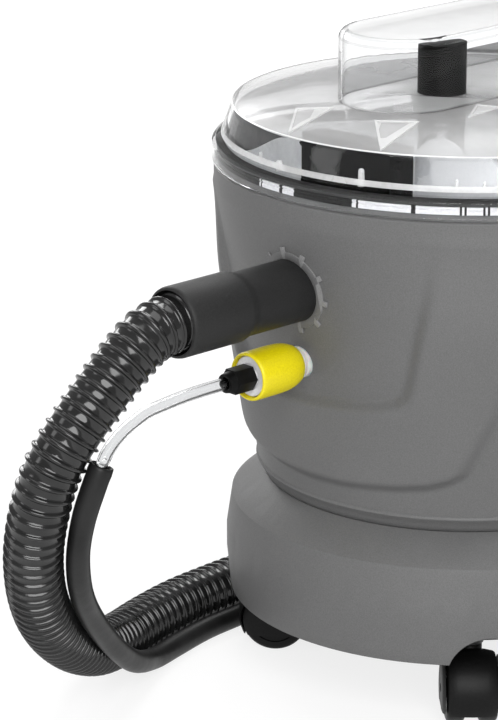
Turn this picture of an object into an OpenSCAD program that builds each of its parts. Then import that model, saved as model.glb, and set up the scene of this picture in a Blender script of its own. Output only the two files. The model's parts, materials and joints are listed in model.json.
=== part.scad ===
// Spot extractor: a small spray and suction cleaning machine on castors.
// Millimetres. +Z up, floor at z = 0, front (hose side) along -Y.
// Every module is drawn with the tub's axis on the Z axis.

/* [Tub] */
// Height of the tub's floor underside
tub_floor_z = 131; // [125:1:140]
// Outer radius of the tub at its foot
tub_foot_r = 133; // [126:1:138]
// Outer radius of the tub under its rim
tub_top_r = 162; // [156:1:164]
// Height where the tub wall turns upright under the rim
tub_top_z = 326; // [316:1:330]
// Wall thickness of the tub
tub_wall = 3.5; // [3:0.1:4.5]
// Height of the tub's top edge, inside the lid's skirt
tub_lip_z = 352; // [350:0.5:353]
// How far the raised frame on the tub's front stands proud
frame_proud = 2.5; // [1.5:0.1:3]

/* [Base] */
// Outer radius of the base skirt at its widest
skirt_r = 154; // [150:1:158]
// Height of the skirt's lower edge
skirt_z = 50; // [46:1:54]
// Wall thickness of the base and the rear housing
shell_wall = 3.5; // [3:0.1:4.5]
// Height of the base plate's underside
plate_z = 66; // [62:1:68]
// Thickness of the base plate
plate_t = 3; // [2.5:0.1:4]
// Half width of the rear body
rear_half_w = 112; // [106:1:114]
// Depth of the rear body behind the gap round the lid
rear_depth = 134.5; // [130:0.5:145]
// Height where the rear cover starts
cover_z = 350; // [340:1:355]

/* [Lid and dome] */
// How far the lid's skirt stands proud of the tub
lid_over = 1.3; // [0.8:0.1:3]
// Height of the lid's lower edge
lid_z = 342; // [341:0.5:343]
// How far the lid's top edge lies inside its skirt
lid_slope = 12.8; // [10:0.1:17]
// Height of the lid's top edge
lid_top_z = 378; // [374:0.5:380]
// Height of the lid's crown, where the dome stands
crown_z = 388; // [386:0.5:390]
// Wall thickness of the lid and the dome
lid_wall = 2.8; // [2.2:0.1:3]
// Half width of the dome
dome_r = 40; // [38:0.5:42]
// Front end of the dome, in front of the tub axis
dome_front = 100; // [96:1:102]
// How far the dome reaches behind the lid's edge
dome_reach = 77.5; // [74:0.5:84]
// Height of the dome's top
dome_z = 434; // [428:1:440]
// Radius of the dome's top edge
dome_round = 6; // [4:0.5:8]

/* [Recovery tank] */
// Height of the tank's floor underside
tank_floor_z = 165; // [160:1:170]
// Gap between the tub's and the tank's outer walls at the floor
tank_foot_gap = 25; // [21:1:31]
// Gap between the tub's and the tank's outer walls under the rim
tank_gap = 15; // [14:1:22]
// Wall thickness of the tank
tank_wall = 2.5; // [2:0.1:3]

/* [Suction inlet and hose] */
// Height of the inlet's axis
inlet_z = 283; // [278:1:287]
// Outer radius of the cuff's thin end
cuff_thin_r = 20.25; // [19.5:0.05:21]
// Outer radius of the cuff's thick end
cuff_thick_r = 22.25; // [21.8:0.05:22.4]
// Radius over the hose's ribs
hose_r = 19; // [18:0.1:19.2]
// Radius between the hose's ribs
hose_valley_r = 16.8; // [16.4:0.1:17.2]
// Radius of the hose's bore
hose_bore_r = 14.5; // [13.5:0.1:15]
// Radius of the sleeve that carries the spray tube
sleeve_r = 7.5; // [7:0.1:7.7]
// Ribs on the free stretch of the hose
free_ribs = 108; // [60:1:110]
// Ribs on the coiled stretch of the hose
coil_ribs = 90; // [50:1:92]

/* [Spray coupling] */
// Height of the spray coupling's axis
coupling_z = 235; // [232:1:238]
// Outer radius of the yellow collar
collar_r = 15.2; // [14.5:0.1:15.6]
// Width across the flats of the tube nut
nut_flats = 15; // [14:0.5:16]
// Outer radius of the spray tube
tube_r = 4; // [3.5:0.1:4.2]

/* [Running gear] */
// Radius of the rear wheels
wheel_r = 80; // [76:1:82]
// Width of the rear wheels
wheel_w = 28; // [24:1:30]
// Rear axle, distance in front of the rear face
axle_inset = 65; // [60:1:70]
// Radius of the rear axle
axle_r = 5; // [4:0.5:6]
// Radius of the castor wheels
castor_r = 22; // [21:0.5:22.5]
// Width of one castor wheel
castor_w = 12; // [10:0.5:13]
// How far a castor's wheels trail behind its stem
castor_trail = 14; // [12:0.5:15]
// Distance of the castor stems inside the skirt's edge
castor_inset = 47; // [46:0.5:50]
// Angle of the castor stems from the front
castor_angle = 47.5; // [46:0.5:49]

/* [Fits] */
// Gap between bodies that move past each other
move_gap = 0.3; // [0.25:0.05:0.5]
// Radial clearance of shafts and pins in their holes
shaft_gap = 0.05; // [0.03:0.01:0.09]

/* [Hidden] */
$fn = 96;

shell_grey = [0.36, 0.36, 0.36];
plastic_black = [0.09, 0.09, 0.09];
rubber_black = [0.05, 0.05, 0.05];
clear_tint = [0.86, 0.88, 0.9, 0.35];
milky = [0.9, 0.9, 0.88, 0.6];
steel = [0.72, 0.72, 0.74];
signal_yellow = [0.98, 0.87, 0.02];
white_plastic = [0.92, 0.92, 0.92];

// ---------- plan shapes and helpers ----------

// A wall line of the tub: its outer radius at height z
tub_slope = (tub_top_r - tub_foot_r) / (tub_top_z - tub_floor_z - 9);
function tub_r(z) = tub_foot_r + (z - tub_floor_z - 9) * tub_slope;
lid_r = tub_top_r + lid_over;
lid_top_r = lid_r - lid_slope;
tank_top_r = tub_top_r - tank_gap;
tank_foot_r = tub_foot_r - tank_foot_gap;
rear_gap_r = lid_r + 2.2;
rear_y = rear_gap_r + rear_depth;
axle_y = rear_y - axle_inset;
dome_rear = rear_gap_r + dome_reach;
castor_ring_r = skirt_r - castor_inset;
tub_edge_z = lid_z - 2;
tub_lip_r = lid_r - lid_wall - 2;
// Points whose y is measured from the tub's front, under its rim
function ahead(p) = [for (q = p) [q[0], q[1] - tub_top_r, q[2]]];
ledge_z = tub_lip_z - 9;
ledge_t = 6;

module ring_on_y(z, y_near, y_far, r_out, r_in) {
    translate([0, y_near, z]) rotate([90, 0, 0]) difference() {
        cylinder(r = r_out, h = y_near - y_far);
        translate([0, 0, -1]) cylinder(r = r_in, h = y_near - y_far + 2);
    }
}

module rod_on_y(z, y_near, y_far, r) {
    translate([0, y_near, z]) rotate([90, 0, 0]) cylinder(r = r, h = y_near - y_far);
}

module rod_on_x(x_low, x_high, y, z, r) {
    translate([x_low, y, z]) rotate([0, 90, 0]) cylinder(r = r, h = x_high - x_low);
}

module round_box_plan(half_w, y_low, y_high, r) {
    translate([-half_w + r, y_low]) square([2 * (half_w - r), y_high - y_low]);
    translate([-half_w, y_low + r]) square([2 * half_w, y_high - y_low - 2 * r]);
    for (sx = [-1, 1], y = [y_low + r, y_high - r])
        translate([sx * (half_w - r), y]) circle(r = r);
}

rear_corner_r = 30;
rear_front_y = 60;

module rear_plan(inset) {
    round_box_plan(rear_half_w - inset, rear_front_y + inset, rear_y - inset, rear_corner_r - inset);
}

// ---------- base ----------

base_top_z = tub_floor_z;
shoulder_z = base_top_z - 17;
skirt_profile = [
    [tub_foot_r - 4, base_top_z],
    [skirt_r - 3.5, shoulder_z],
    [skirt_r, shoulder_z - 24],
    [skirt_r, shoulder_z - 38],
    [skirt_r - 2.5, skirt_z]
];

module skirt_solid(d, low, high) {
    rotate_extrude() polygon(concat(
        [[0, high]],
        [[skirt_profile[0][0] - d, high]],
        [for (i = [1:3]) [skirt_profile[i][0] - d, skirt_profile[i][1] - (i == 1 ? d / 2 : 0)]],
        [[skirt_profile[4][0] - d, low], [0, low]]));
}

castor_x = castor_ring_r * sin(castor_angle);
castor_y = -castor_ring_r * cos(castor_angle);
arch_r = 27;
arch_z = skirt_z - 8;
arch_angle = 51;
deck_z = base_top_z - shell_wall;
axle_z = wheel_r;
axle_boss_r = 11;
axle_boss_l = 16;
hose_pass_r = 9;
screw_ring_r = tub_foot_r - 33;
screw_r = 2.5;
screw_angles = [40, 140, 220, 320];
rear_screw_x = rear_half_w - 20;
rear_screw_y = rear_y - 25;
filter_x = 70;
filter_y = 40;
outlet_pass_y = 15 - tub_foot_r;

module base_shell() {
    color(shell_grey) difference() {
        union() {
            skirt_solid(0, skirt_z, base_top_z);
            translate([0, 0, skirt_z]) linear_extrude(base_top_z - skirt_z) rear_plan(0);
        }
        difference() {
            union() {
                skirt_solid(shell_wall, skirt_z - 1, deck_z);
                translate([0, 0, skirt_z - 1]) linear_extrude(deck_z - skirt_z + 1) rear_plan(shell_wall);
            }
            for (s = [-1, 1])
                translate([s * (rear_half_w - axle_boss_l / 2), axle_y, axle_z]) rotate([0, 90, 0])
                    cylinder(r = axle_boss_r, h = axle_boss_l, center = true);
        }
        rod_on_x(-rear_half_w - 1, rear_half_w + 1, axle_y, axle_z, axle_r + shaft_gap);
        for (s = [-1, 1])
            rotate([0, 0, s * arch_angle]) translate([0, 26 - skirt_r, arch_z]) rotate([90, 0, 0])
                cylinder(r = arch_r, h = 40);
        translate([filter_x, filter_y, deck_z - 1]) cylinder(r = hose_pass_r, h = shell_wall + 2);
        translate([0, outlet_pass_y, deck_z - 1]) cylinder(r = hose_pass_r, h = shell_wall + 2);
        for (a = screw_angles)
            rotate([0, 0, a]) translate([screw_ring_r, 0, deck_z - 1]) cylinder(r = screw_r + 0.3, h = shell_wall + 2);
        for (s = [-1, 1])
            translate([s * rear_screw_x, rear_screw_y, deck_z - 1]) cylinder(r = screw_r + 0.3, h = shell_wall + 2);
    }
}

socket_r = 9;
stem_r = 4.5;
socket_z = 49;
plate_gap = 0.3;

module base_plate() {
    color(plastic_black) difference() {
        translate([0, 0, plate_z]) linear_extrude(plate_t) {
            circle(r = skirt_r - shell_wall - 2.2);
            rear_plan(shell_wall + plate_gap);
        }
        for (s = [-1, 1]) {
            translate([s * castor_x, castor_y, plate_z - 1]) cylinder(r = socket_r, h = plate_t + 2);
            translate([s * (rear_half_w - axle_boss_l / 2), axle_y, axle_z]) rotate([0, 90, 0])
                cylinder(r = axle_boss_r + plate_gap, h = axle_boss_l + 1, center = true);
        }
    }
}

module castor_sockets() {
    color(plastic_black) for (s = [-1, 1]) translate([s * castor_x, castor_y, 0]) difference() {
        union() {
            translate([0, 0, socket_z]) cylinder(r = socket_r, h = 42);
            translate([0, 0, plate_z + plate_t]) cylinder(r = socket_r + 5, h = 3);
        }
        translate([0, 0, socket_z - 1]) cylinder(r = stem_r + shaft_gap, h = 37);
    }
}

// ---------- tub ----------

module tub_outer(d, low) {
    rotate_extrude() polygon([
        [0, low],
        [tub_r(tub_floor_z + 9) - 4 - d, low],
        [tub_r(tub_floor_z + 9) - d, max(low, tub_floor_z + 9)],
        [tub_top_r - d, tub_top_z],
        [tub_top_r - d, tub_edge_z],
        [0, tub_edge_z]]);
}

// Outline of the raised frame seen from the front, right half: x, z
function shield(half_top, half_mid, z_mid, half_foot, z_foot) = [
    [half_top, tub_top_z + 6], [half_mid, z_mid], [half_foot + 12, z_foot + 9], [half_foot, z_foot + 2],
    [0, z_foot], [-half_foot, z_foot + 2], [-half_foot - 12, z_foot + 9], [-half_mid, z_mid], [-half_top, tub_top_z + 6]];

module front_frame() {
    intersection() {
        difference() {
            tub_outer(-frame_proud, tub_floor_z + 12);
            tub_outer(0.5, tub_floor_z);
        }
        rotate([90, 0, 0]) linear_extrude(tub_top_r + 10) difference() {
            polygon(shield(126, 112, 208, 62, 158));
            polygon(shield(95, 79, 262, 50, 211));
        }
        translate([0, -tub_top_r, tub_floor_z]) cylinder(r = 176, h = tub_top_z - tub_floor_z - 4);
    }
}

inlet_hole_r = cuff_thin_r + 2.4;
socket_hole_r = 7;

module tub_housing() {
    color(shell_grey) difference() {
        union() {
            difference() {
                tub_outer(0, tub_floor_z);
                tub_outer(tub_wall, tub_floor_z + tub_wall);
            }
            translate([0, 0, tub_edge_z]) cylinder(r = tub_lip_r, h = tub_lip_z - tub_edge_z);
            translate([0, 0, ledge_z - ledge_t]) cylinder(r = tub_lip_r + 1, h = ledge_t);
            front_frame();
            for (a = screw_angles)
                rotate([0, 0, a]) translate([screw_ring_r, 0, tub_floor_z + 1]) cylinder(r = 7, h = 14);
        }
        translate([0, 0, ledge_z]) cylinder(r = tub_lip_r - 4, h = 40);
        translate([0, 0, ledge_z - ledge_t - 1]) cylinder(r = tank_top_r + 2.5, h = 40);
        ring_hole();
        rod_on_y(coupling_z, 10 - tub_foot_r, -tub_top_r, socket_hole_r);
        translate([filter_x, filter_y, tub_floor_z - 1]) cylinder(r = hose_pass_r - 3, h = tub_wall + 2);
        translate([0, outlet_pass_y, tub_floor_z - 1]) cylinder(r = tube_r + 1, h = tub_wall + 2);
        for (a = screw_angles)
            rotate([0, 0, a]) translate([screw_ring_r, 0, tub_floor_z - 1]) cylinder(r = screw_r + shaft_gap, h = 11);
    }
}

module ring_hole() {
    rod_on_y(inlet_z, -tub_foot_r + 10, -tub_top_r - 10, inlet_hole_r);
}

// ---------- recovery tank ----------

tank_rim_z = ledge_z + 0.3;
tank_rim_t = 2.7;
pad_y = 15 - tank_top_r;
pad_half = 46;
pad_up = 33;
duct_x = 38.5;
duct_y = pad_y + 22;
duct_depth = 21;
duct_low = 262;
duct_top = 371;
duct_wall = 2;
duct_bore_r = 17.5;

module tank_cone(d, low) {
    translate([0, 0, low]) cylinder(
        r1 = tank_foot_r - d + (low - tank_floor_z) * tank_slope,
        r2 = tank_top_r - d,
        h = tank_rim_z - low);
}

tank_slope = (tank_top_r - tank_foot_r) / (tank_rim_z - tank_floor_z);

module recovery_tank() {
    color(milky) difference() {
        union() {
            difference() {
                union() {
                    tank_cone(0, tank_floor_z);
                    translate([0, 0, tank_rim_z]) cylinder(r = tub_lip_r - 4.5, h = tank_rim_t);
                }
                tank_cone(tank_wall, tank_floor_z + tank_wall);
                translate([0, 0, tank_rim_z - 1]) cylinder(r = tank_top_r - tank_wall, h = 20);
            }
            difference() {
                intersection() {
                    translate([-pad_half, pad_y, inlet_z - pad_up]) cube([2 * pad_half, 24, 2 * pad_up]);
                    tank_cone(-4, tank_floor_z);
                }
                intersection() {
                    tank_cone(tank_wall, tank_floor_z + tank_wall);
                    translate([-pad_half - 1, pad_y + 5, inlet_z - pad_up - 1]) cube([2 * pad_half + 2, 60, 2 * pad_up + 2]);
                }
            }
        }
        translate([-60, pad_y - 30, inlet_z - pad_up]) cube([120, 30, 2 * pad_up]);
        rod_on_y(inlet_z, pad_y + 32, -tank_top_r, duct_bore_r + 2 + shaft_gap);
    }
}

module inlet_duct() {
    color(plastic_black) difference() {
        union() {
            translate([-duct_x, duct_y, duct_low]) cube([2 * duct_x, duct_depth, duct_top - duct_low]);
            rod_on_y(inlet_z, duct_y + 1, pad_y, duct_bore_r + 2);
            for (s = [-1, 1])
                translate([s * (duct_x + 2), duct_y + 6, duct_top - 10]) rotate([0, 90, 0])
                    cylinder(r = 3, h = 6, center = true);
        }
        translate([-duct_x + duct_wall, duct_y + duct_wall, duct_low + duct_wall])
            cube([2 * (duct_x - duct_wall), duct_depth - 2 * duct_wall, duct_top - duct_low - 2 * duct_wall]);
        rod_on_y(inlet_z, duct_y + duct_wall + 1, pad_y - 1, duct_bore_r);
        translate([-duct_x + 8, duct_y + duct_depth - duct_wall - 1, duct_top - 34])
            cube([2 * (duct_x - 8), duct_wall + 2, 26]);
    }
}

guard_y = duct_y + duct_depth;
guard_t = 2.2;
guard_scale = tank_top_r / 147;
guard_arch = [[0, -3], [9, 5], [19, 8], [30, 7.5], [38, 4], [40, 1], [43, 5], [54, 6.5], [64, 2], [72, -6]];

module splash_guard() {
    color(milky) translate([0, guard_y + guard_t, 0]) rotate([90, 0, 0]) linear_extrude(guard_t) polygon(concat(
        [[duct_x - 18, duct_low + 10]],
        [[duct_x - 18, duct_top - 40]],
        [[duct_x + 1, duct_top - 40]],
        [for (q = guard_arch) [duct_x + 1 + guard_scale * q[0], duct_top + q[1]]],
        [[duct_x + 50 * guard_scale, duct_low + 10]]));
}

// ---------- lid, dome and float ----------

lid_ledge_z = tub_lip_z + 6;
seal_t = 2;
cage_y = -23;
cage_r = 15.5;
port_y = dome_rear - dome_r + 2;
port_r = 23;
tongue_half_w = dome_r + 4;

module lid_profile(d, low) {
    polygon([
        [0, low],
        [lid_r - d, low],
        [lid_r - d, tub_lip_z + 1 + (d > 0 ? seal_t - 1 : 0)],
        [lid_r - 6 - d, lid_ledge_z - d],
        [lid_top_r - d, lid_top_z - d],
        [dome_front + 4 - d, crown_z - d],
        [0, crown_z - d]]);
}

module lid() {
    color(clear_tint) difference() {
        union() {
            difference() {
                rotate_extrude() lid_profile(0, lid_z);
                rotate_extrude() lid_profile(lid_wall, lid_z - 1);
            }
            difference() {
                translate([0, 0, crown_z - 8]) linear_extrude(8)
                    round_box_plan(tongue_half_w, dome_front - 40, dome_rear + 4, 20);
                rotate_extrude() lid_profile(lid_wall, lid_z - 1);
            }
        }
        translate([0, cage_y, crown_z - 10]) cylinder(r = cage_r + shaft_gap, h = 12);
        translate([0, port_y, crown_z - 10]) cylinder(r = port_r, h = 12);
    }
}

module lid_seal() {
    color(rubber_black) translate([0, 0, tub_lip_z]) difference() {
        cylinder(r = tub_lip_r - 0.5, h = seal_t - move_gap);
        translate([0, 0, -1]) cylinder(r = tub_lip_r - 4, h = seal_t + 2);
    }
}

function dome_section(r, low, high, f) = concat(
    [[0, low], [r, low]],
    [for (a = [0:18:90]) [r - f + f * cos(a), high - f + f * sin(a)]],
    [[0, high]]);

module dome_solid(d, low, high) {
    r = dome_r - d;
    f = dome_round - d / 2;
    section = dome_section(r, low, high, f);
    mirrored = concat(section, [for (i = [len(section) - 2:-1:1]) [-section[i][0], section[i][1]]]);
    y_low = -dome_front + dome_r;
    y_high = dome_rear - dome_r;
    translate([0, y_low, 0]) rotate([0, 0, 180]) rotate_extrude(angle = 180) polygon(section);
    translate([0, y_high, 0]) rotate_extrude(angle = 180) polygon(section);
    translate([0, y_high, 0]) rotate([90, 0, 0]) linear_extrude(y_high - y_low) polygon(mirrored);
}

module dome() {
    color(clear_tint) difference() {
        dome_solid(0, crown_z, dome_z);
        dome_solid(lid_wall, crown_z - 1, dome_z - lid_wall);
    }
}

cage_low = 346;
cage_top = 420;
cage_wall = 2;
ball_r = 11;

module float_cage() {
    color(plastic_black) translate([0, cage_y, 0]) difference() {
        union() {
            translate([0, 0, cage_low]) cylinder(r = cage_r, h = cage_top - cage_low);
            translate([0, 0, crown_z - lid_wall - 4]) cylinder(r = cage_r + 4, h = 4);
        }
        translate([0, 0, cage_low + 2]) cylinder(r = cage_r - cage_wall, h = 44);
        translate([0, 0, cage_low + 40]) cylinder(r = ball_r - 3, h = 20);
        translate([0, 0, cage_low + 48]) cylinder(r = cage_r - cage_wall, h = 24);
        for (a = [45:90:315]) rotate([0, 0, a])
            translate([cage_r - 6, -4, cage_low + 4]) cube([12, 8, 24]);
        translate([-7, cage_r - 6, cage_top - 20]) cube([14, 12, 14]);
    }
}

module float_ball() {
    color(white_plastic) translate([0, cage_y, cage_low + 2 + ball_r + 0.3]) sphere(r = ball_r);
}

// ---------- suction inlet ----------

inlet_inner_y = pad_y - 2.6;
lug_count = 10;
lug_r = 25.5;

module inlet_socket() {
    color(shell_grey) union() {
        difference() {
            rod_on_y(inlet_z, inlet_inner_y, -tub_top_r, inlet_hole_r - 0.1);
            rod_on_y(inlet_z, inlet_inner_y + 1, -tub_top_r - 1, cuff_thin_r + shaft_gap);
            difference() {
                translate([0, 0, inlet_z - 60]) cylinder(r = tub_top_r + 20, h = 120);
                tub_outer(-1.2, tub_floor_z);
            }
        }
        difference() {
            union() {
                for (i = [0:lug_count - 1])
                    translate([0, 0, inlet_z]) rotate([0, i * 360 / lug_count + 9, 0])
                        translate([lug_r, -tub_top_r, 0]) cube([5, 40, 3.4], center = true);
                rod_on_y(inlet_z, pad_y + 12, -tub_top_r, lug_r - 0.6);
            }
            rod_on_y(inlet_z, pad_y + 32, -tub_top_r - 40, inlet_hole_r - 0.4);
            tub_outer(0, tub_floor_z);
            difference() {
                translate([0, 0, inlet_z - 60]) cylinder(r = tub_top_r + 40, h = 120);
                tub_outer(-1.2, tub_floor_z);
            }
        }
    }
}

module inlet_seal() {
    color(rubber_black) ring_on_y(inlet_z, pad_y - 0.4, inlet_inner_y, cuff_thin_r + 2, duct_bore_r + 0.5);
}

cuff_step_y = -tub_top_r - 44;
cuff_end_y = -tub_top_r - 95;
hose_start_y = -tub_top_r - 58;

module hose_cuff() {
    color(plastic_black) translate([0, 0, inlet_z]) rotate([90, 0, 0]) rotate_extrude() polygon([
        [cuff_thin_r - 3.2, -inlet_inner_y + 1],
        [cuff_thin_r, -inlet_inner_y + 1],
        [cuff_thin_r, -cuff_step_y - 3],
        [cuff_thick_r, -cuff_step_y + 3],
        [cuff_thick_r, -cuff_end_y - 1],
        [cuff_thick_r - 1, -cuff_end_y],
        [hose_r + 0.8, -cuff_end_y],
        [hose_r + 0.3, -hose_start_y],
        [hose_bore_r, -hose_start_y],
        [hose_bore_r, -hose_start_y - 12]]);
}

// ---------- hose, sleeve and coil ----------

hose_floor_z = 19.5;
coil_start_y = 722 - tub_top_r;

// Centre line of the hose's free stretch, from the tub's front
hose_route = ahead([
    [0, -58, inlet_z], [0, -71, inlet_z], [0, -84, inlet_z], [0, -96, inlet_z], [0, -114, 279],
    [-1, -131, 267], [-3, -149, 250], [-7, -167, 229], [-13, -179, 207], [-20, -183, 182], [-30, -180, 155],
    [-40, -172, 131], [-51, -160, 109], [-63, -144, 88], [-78, -121, 66], [-95, -92, 45], [-112, -60, 29],
    [-128, -27, 21], [-140, 7, hose_floor_z], [-148, 44, hose_floor_z], [-151, 82, hose_floor_z],
    [-153, 122, hose_floor_z], [-159, 172, hose_floor_z], [-168, 222, hose_floor_z],
    [-178, 277, hose_floor_z], [-187, 337, hose_floor_z], [-193, 397, hose_floor_z],
    [-197, 462, hose_floor_z], [-200, 532, hose_floor_z], [-200, 602, hose_floor_z],
    [-200, 662, hose_floor_z], [-200, 684, hose_floor_z], [-200, 703, hose_floor_z],
    [-200, 722, hose_floor_z]]);

// One loop on the floor, whose end rises and lies across the hose that comes in
coil_r = 190;
coil_x = -200 + coil_r;
coil_y = coil_start_y + 38;
coil_last = 270;
rise_from = 225;
rise_l = 245;
end_straight = 160;
cross_z = hose_floor_z + hose_r + cuff_thin_r - 0.45;

function unit(v) = v / norm(v);
function smooth(t) = let(u = min(1, max(0, t))) u * u * (3 - 2 * u);
function rise(d) = hose_floor_z + (cross_z - hose_floor_z) * smooth(d / rise_l);
function coil_point(a) = [
    coil_x - coil_r * cos(a), coil_y + coil_r * sin(a), rise((a - rise_from) * PI / 180 * coil_r)];
function end_point(s) = [coil_x - s, coil_y - coil_r, rise((coil_last - rise_from) * PI / 180 * coil_r + s)];
coil_exit = [-1, 0, 0];
coil_tip = end_point(end_straight);
coil_route = concat(
    [[-200, coil_start_y, hose_floor_z], [-200, coil_start_y + 19, hose_floor_z]],
    [for (i = [0:24]) coil_point(i * coil_last / 24)],
    [for (s = [20:20:end_straight]) end_point(s)]);

// Points of a smooth line through a route, with four steps between its points
function between(p0, p1, p2, p3, t) = 0.5 * (
    2 * p1 + (p2 - p0) * t + (2 * p0 - 5 * p1 + 4 * p2 - p3) * t * t + (3 * p1 - p0 - 3 * p2 + p3) * t * t * t);
function smooth_line(p, steps = 6) = let(n = len(p) - 1) concat(
    [for (i = [0:n - 1], s = [0:steps - 1])
        between(i > 0 ? p[i - 1] : 2 * p[0] - p[1], p[i], p[i + 1],
            i < n - 1 ? p[i + 2] : 2 * p[n] - p[n - 1], s / steps)],
    [p[n]]);
function run_lengths(p) = [for (i = 0, s = 0; i < len(p);
    s = s + (i < len(p) - 1 ? norm(p[i + 1] - p[i]) : 0), i = i + 1) s];
function line_length(p) = let(l = run_lengths(p)) l[len(l) - 1];
function find_step(l, s, low, high) = high - low < 2 ? low
    : let(mid = floor((low + high) / 2)) (l[mid] > s ? find_step(l, s, low, mid) : find_step(l, s, mid, high));
function at_length(p, l, s) = let(i = find_step(l, s, 0, len(p) - 1))
    p[i] + (p[i + 1] - p[i]) * (s - l[i]) / (l[i + 1] - l[i]);
function even_points(p, n) = let(l = run_lengths(p), total = l[len(l) - 1])
    [for (i = [0:n]) at_length(p, l, min(total * i / n, total - 0.0001))];
function directions(p) = let(n = len(p) - 1)
    [for (i = [0:n]) unit(p[min(n, i + 1)] - p[max(0, i - 1)])];
function turn_side(s, t) = unit(s - (s * t) * t);
function sides_along(t, start) = [for (i = 0, s = turn_side(start, t[0]); i < len(t);
    i = i + 1, s = i < len(t) ? turn_side(s, t[i]) : s) s];

tube_sides = 8;
function ring_points(c, t, s, r) = let(u = cross(t, s))
    [for (k = [0:tube_sides - 1]) c + r * (cos(k * 360 / tube_sides) * s + sin(k * 360 / tube_sides) * u)];
function band(a, b) = [for (k = [0:tube_sides - 1]) let(m = (k + 1) % tube_sides)
    each [[a + k, b + m, a + m], [a + k, b + k, b + m]]];
function flip(faces) = [for (f = faces) [f[0], f[2], f[1]]];

// Directions at the points p on a line, square to the line's own ends
function ways_on(line, p) = let(n = len(p) - 1, m = len(line) - 1, d = directions(p))
    [for (i = [0:n]) i == 0 ? unit(line[1] - line[0]) : i == n ? unit(line[m] - line[m - 1]) : d[i]];
function first_side(t) = abs(t[0][2]) > 0.9 ? [1, 0, 0] : [0, 0, 1];

// A tube with a bore: ribbed outside, with its inner rings further apart
module hollow_tube(line, r_out, bore_rings, r_in) {
    p = even_points(line, len(r_out) - 1);
    q = even_points(line, bore_rings);
    tp = ways_on(line, p);
    tq = ways_on(line, q);
    start = first_side(tp);
    sp = sides_along(tp, start);
    sq = sides_along(tq, start);
    outer = [for (i = [0:len(p) - 1]) each ring_points(p[i], tp[i], sp[i], r_out[i])];
    inner = [for (i = [0:len(q) - 1]) each ring_points(q[i], tq[i], sq[i], r_in)];
    base = len(outer);
    faces = concat(
        [for (i = [0:len(p) - 2]) each band(i * tube_sides, (i + 1) * tube_sides)],
        [for (i = [0:len(q) - 2]) each flip(band(base + i * tube_sides, base + (i + 1) * tube_sides))],
        flip(band(0, base)),
        band((len(p) - 1) * tube_sides, base + (len(q) - 1) * tube_sides));
    polyhedron(points = concat(outer, inner), faces = faces, convexity = 12);
}

// A tube without a bore, with n rings
module solid_tube(line, n, r) {
    p = even_points(line, n);
    t = ways_on(line, p);
    s = sides_along(t, first_side(t));
    points = [for (i = [0:n]) each ring_points(p[i], t[i], s[i], r)];
    faces = concat(
        [for (i = [0:n - 1]) each band(i * tube_sides, (i + 1) * tube_sides)],
        [for (k = [1:tube_sides - 2]) [0, k, k + 1]],
        [for (k = [1:tube_sides - 2]) [n * tube_sides, n * tube_sides + k + 1, n * tube_sides + k]]);
    polyhedron(points = points, faces = faces, convexity = 8);
}

function rib_radii(n, crest, valley) = [for (i = [0:2 * n]) i % 2 == 0 ? valley : crest];
function least_gap(p, skip, r) = min([for (i = [0:len(p) - 1], j = [i + skip:1:len(p) - 1]) norm(p[i] - p[j])]) - 2 * r;

free_line = smooth_line(hose_route);
coil_line = smooth_line(coil_route, 3);
bore_step = 32;

module suction_hose() {
    points = even_points(free_line, 2 * free_ribs);
    echo("least gap of the free hose to itself", least_gap(points, 30, hose_r));
    echo("length of the free hose", line_length(free_line));
    color(rubber_black) hollow_tube(free_line, rib_radii(free_ribs, hose_r, hose_valley_r),
        ceil(line_length(free_line) / bore_step), hose_bore_r);
}

module hose_coil() {
    points = even_points(coil_line, 2 * coil_ribs);
    echo("least gap of the coiled hose to itself", least_gap(points, 40, hose_r));
    echo("length of the coiled hose", line_length(coil_line));
    color(rubber_black) hollow_tube(coil_line, rib_radii(coil_ribs, hose_r, hose_valley_r),
        ceil(line_length(coil_line) / bore_step), hose_bore_r);
}

sleeve_out = hose_r + sleeve_r + 0.3;

// Which way the sleeve lies off the hose, for the hose's points from its ninth on
sleeve_sides = [
    [0.67, 0.72, -0.2], [0.68, 0.73, -0.05], [0.69, 0.72, 0.05], [0.7, 0.68, 0.12], [0.74, 0.6, 0.25],
    [0.78, 0.5, 0.35], [0.84, 0.4, 0.3], [0.9, 0.35, 0.1], [0.92, 0.28, -0.15], [0.9, 0.2, -0.35],
    [0.88, 0.1, -0.44], [0.88, 0.05, -0.45], [0.89, 0, -0.45]];
sleeve_first = 8;
sleeve_mouth = ahead([[6.3, -156.6, 209.8]])[0];
sleeve_floor_z = sleeve_r + 0.5;
sleeve_drop = hose_floor_z - sleeve_floor_z;
sleeve_side = sqrt(sleeve_out * sleeve_out - sleeve_drop * sleeve_drop);
// The sleeve leaves the hose at its end, to pass the cuff
sleeve_end_side = 32;
function sleeve_beside(p, t, side = sleeve_side) =
    [p[0] + side * t[1] / norm([t[0], t[1]]), p[1] - side * t[0] / norm([t[0], t[1]]), p[2] - sleeve_drop];
function sleeve_end(s) = sleeve_beside(end_point(s), coil_exit,
    sleeve_side + (sleeve_end_side - sleeve_side) * smooth((s - 30) / 100));
hose_way = directions(hose_route);
coil_way = directions(coil_route);
sleeve_tip_s = 185;
sleeve_tip = sleeve_end(sleeve_tip_s);
sleeve_route = concat(
    [sleeve_mouth],
    [for (i = [0:len(sleeve_sides) - 1]) let(j = i + sleeve_first)
        hose_route[j] + sleeve_out * turn_side(sleeve_sides[i], hose_way[j])],
    [for (j = [sleeve_first + len(sleeve_sides):len(hose_route) - 2]) sleeve_beside(hose_route[j], hose_way[j])],
    [for (j = [0:2:26]) sleeve_beside(coil_route[j], coil_way[j])],
    [for (s = [25, 55, 85, 115, 145, 170]) sleeve_end(s)],
    [sleeve_tip]);
sleeve_line = smooth_line(sleeve_route, 4);
sleeve_rings = 78;
sleeve_way = unit(sleeve_line[1] - sleeve_line[0]);

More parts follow.
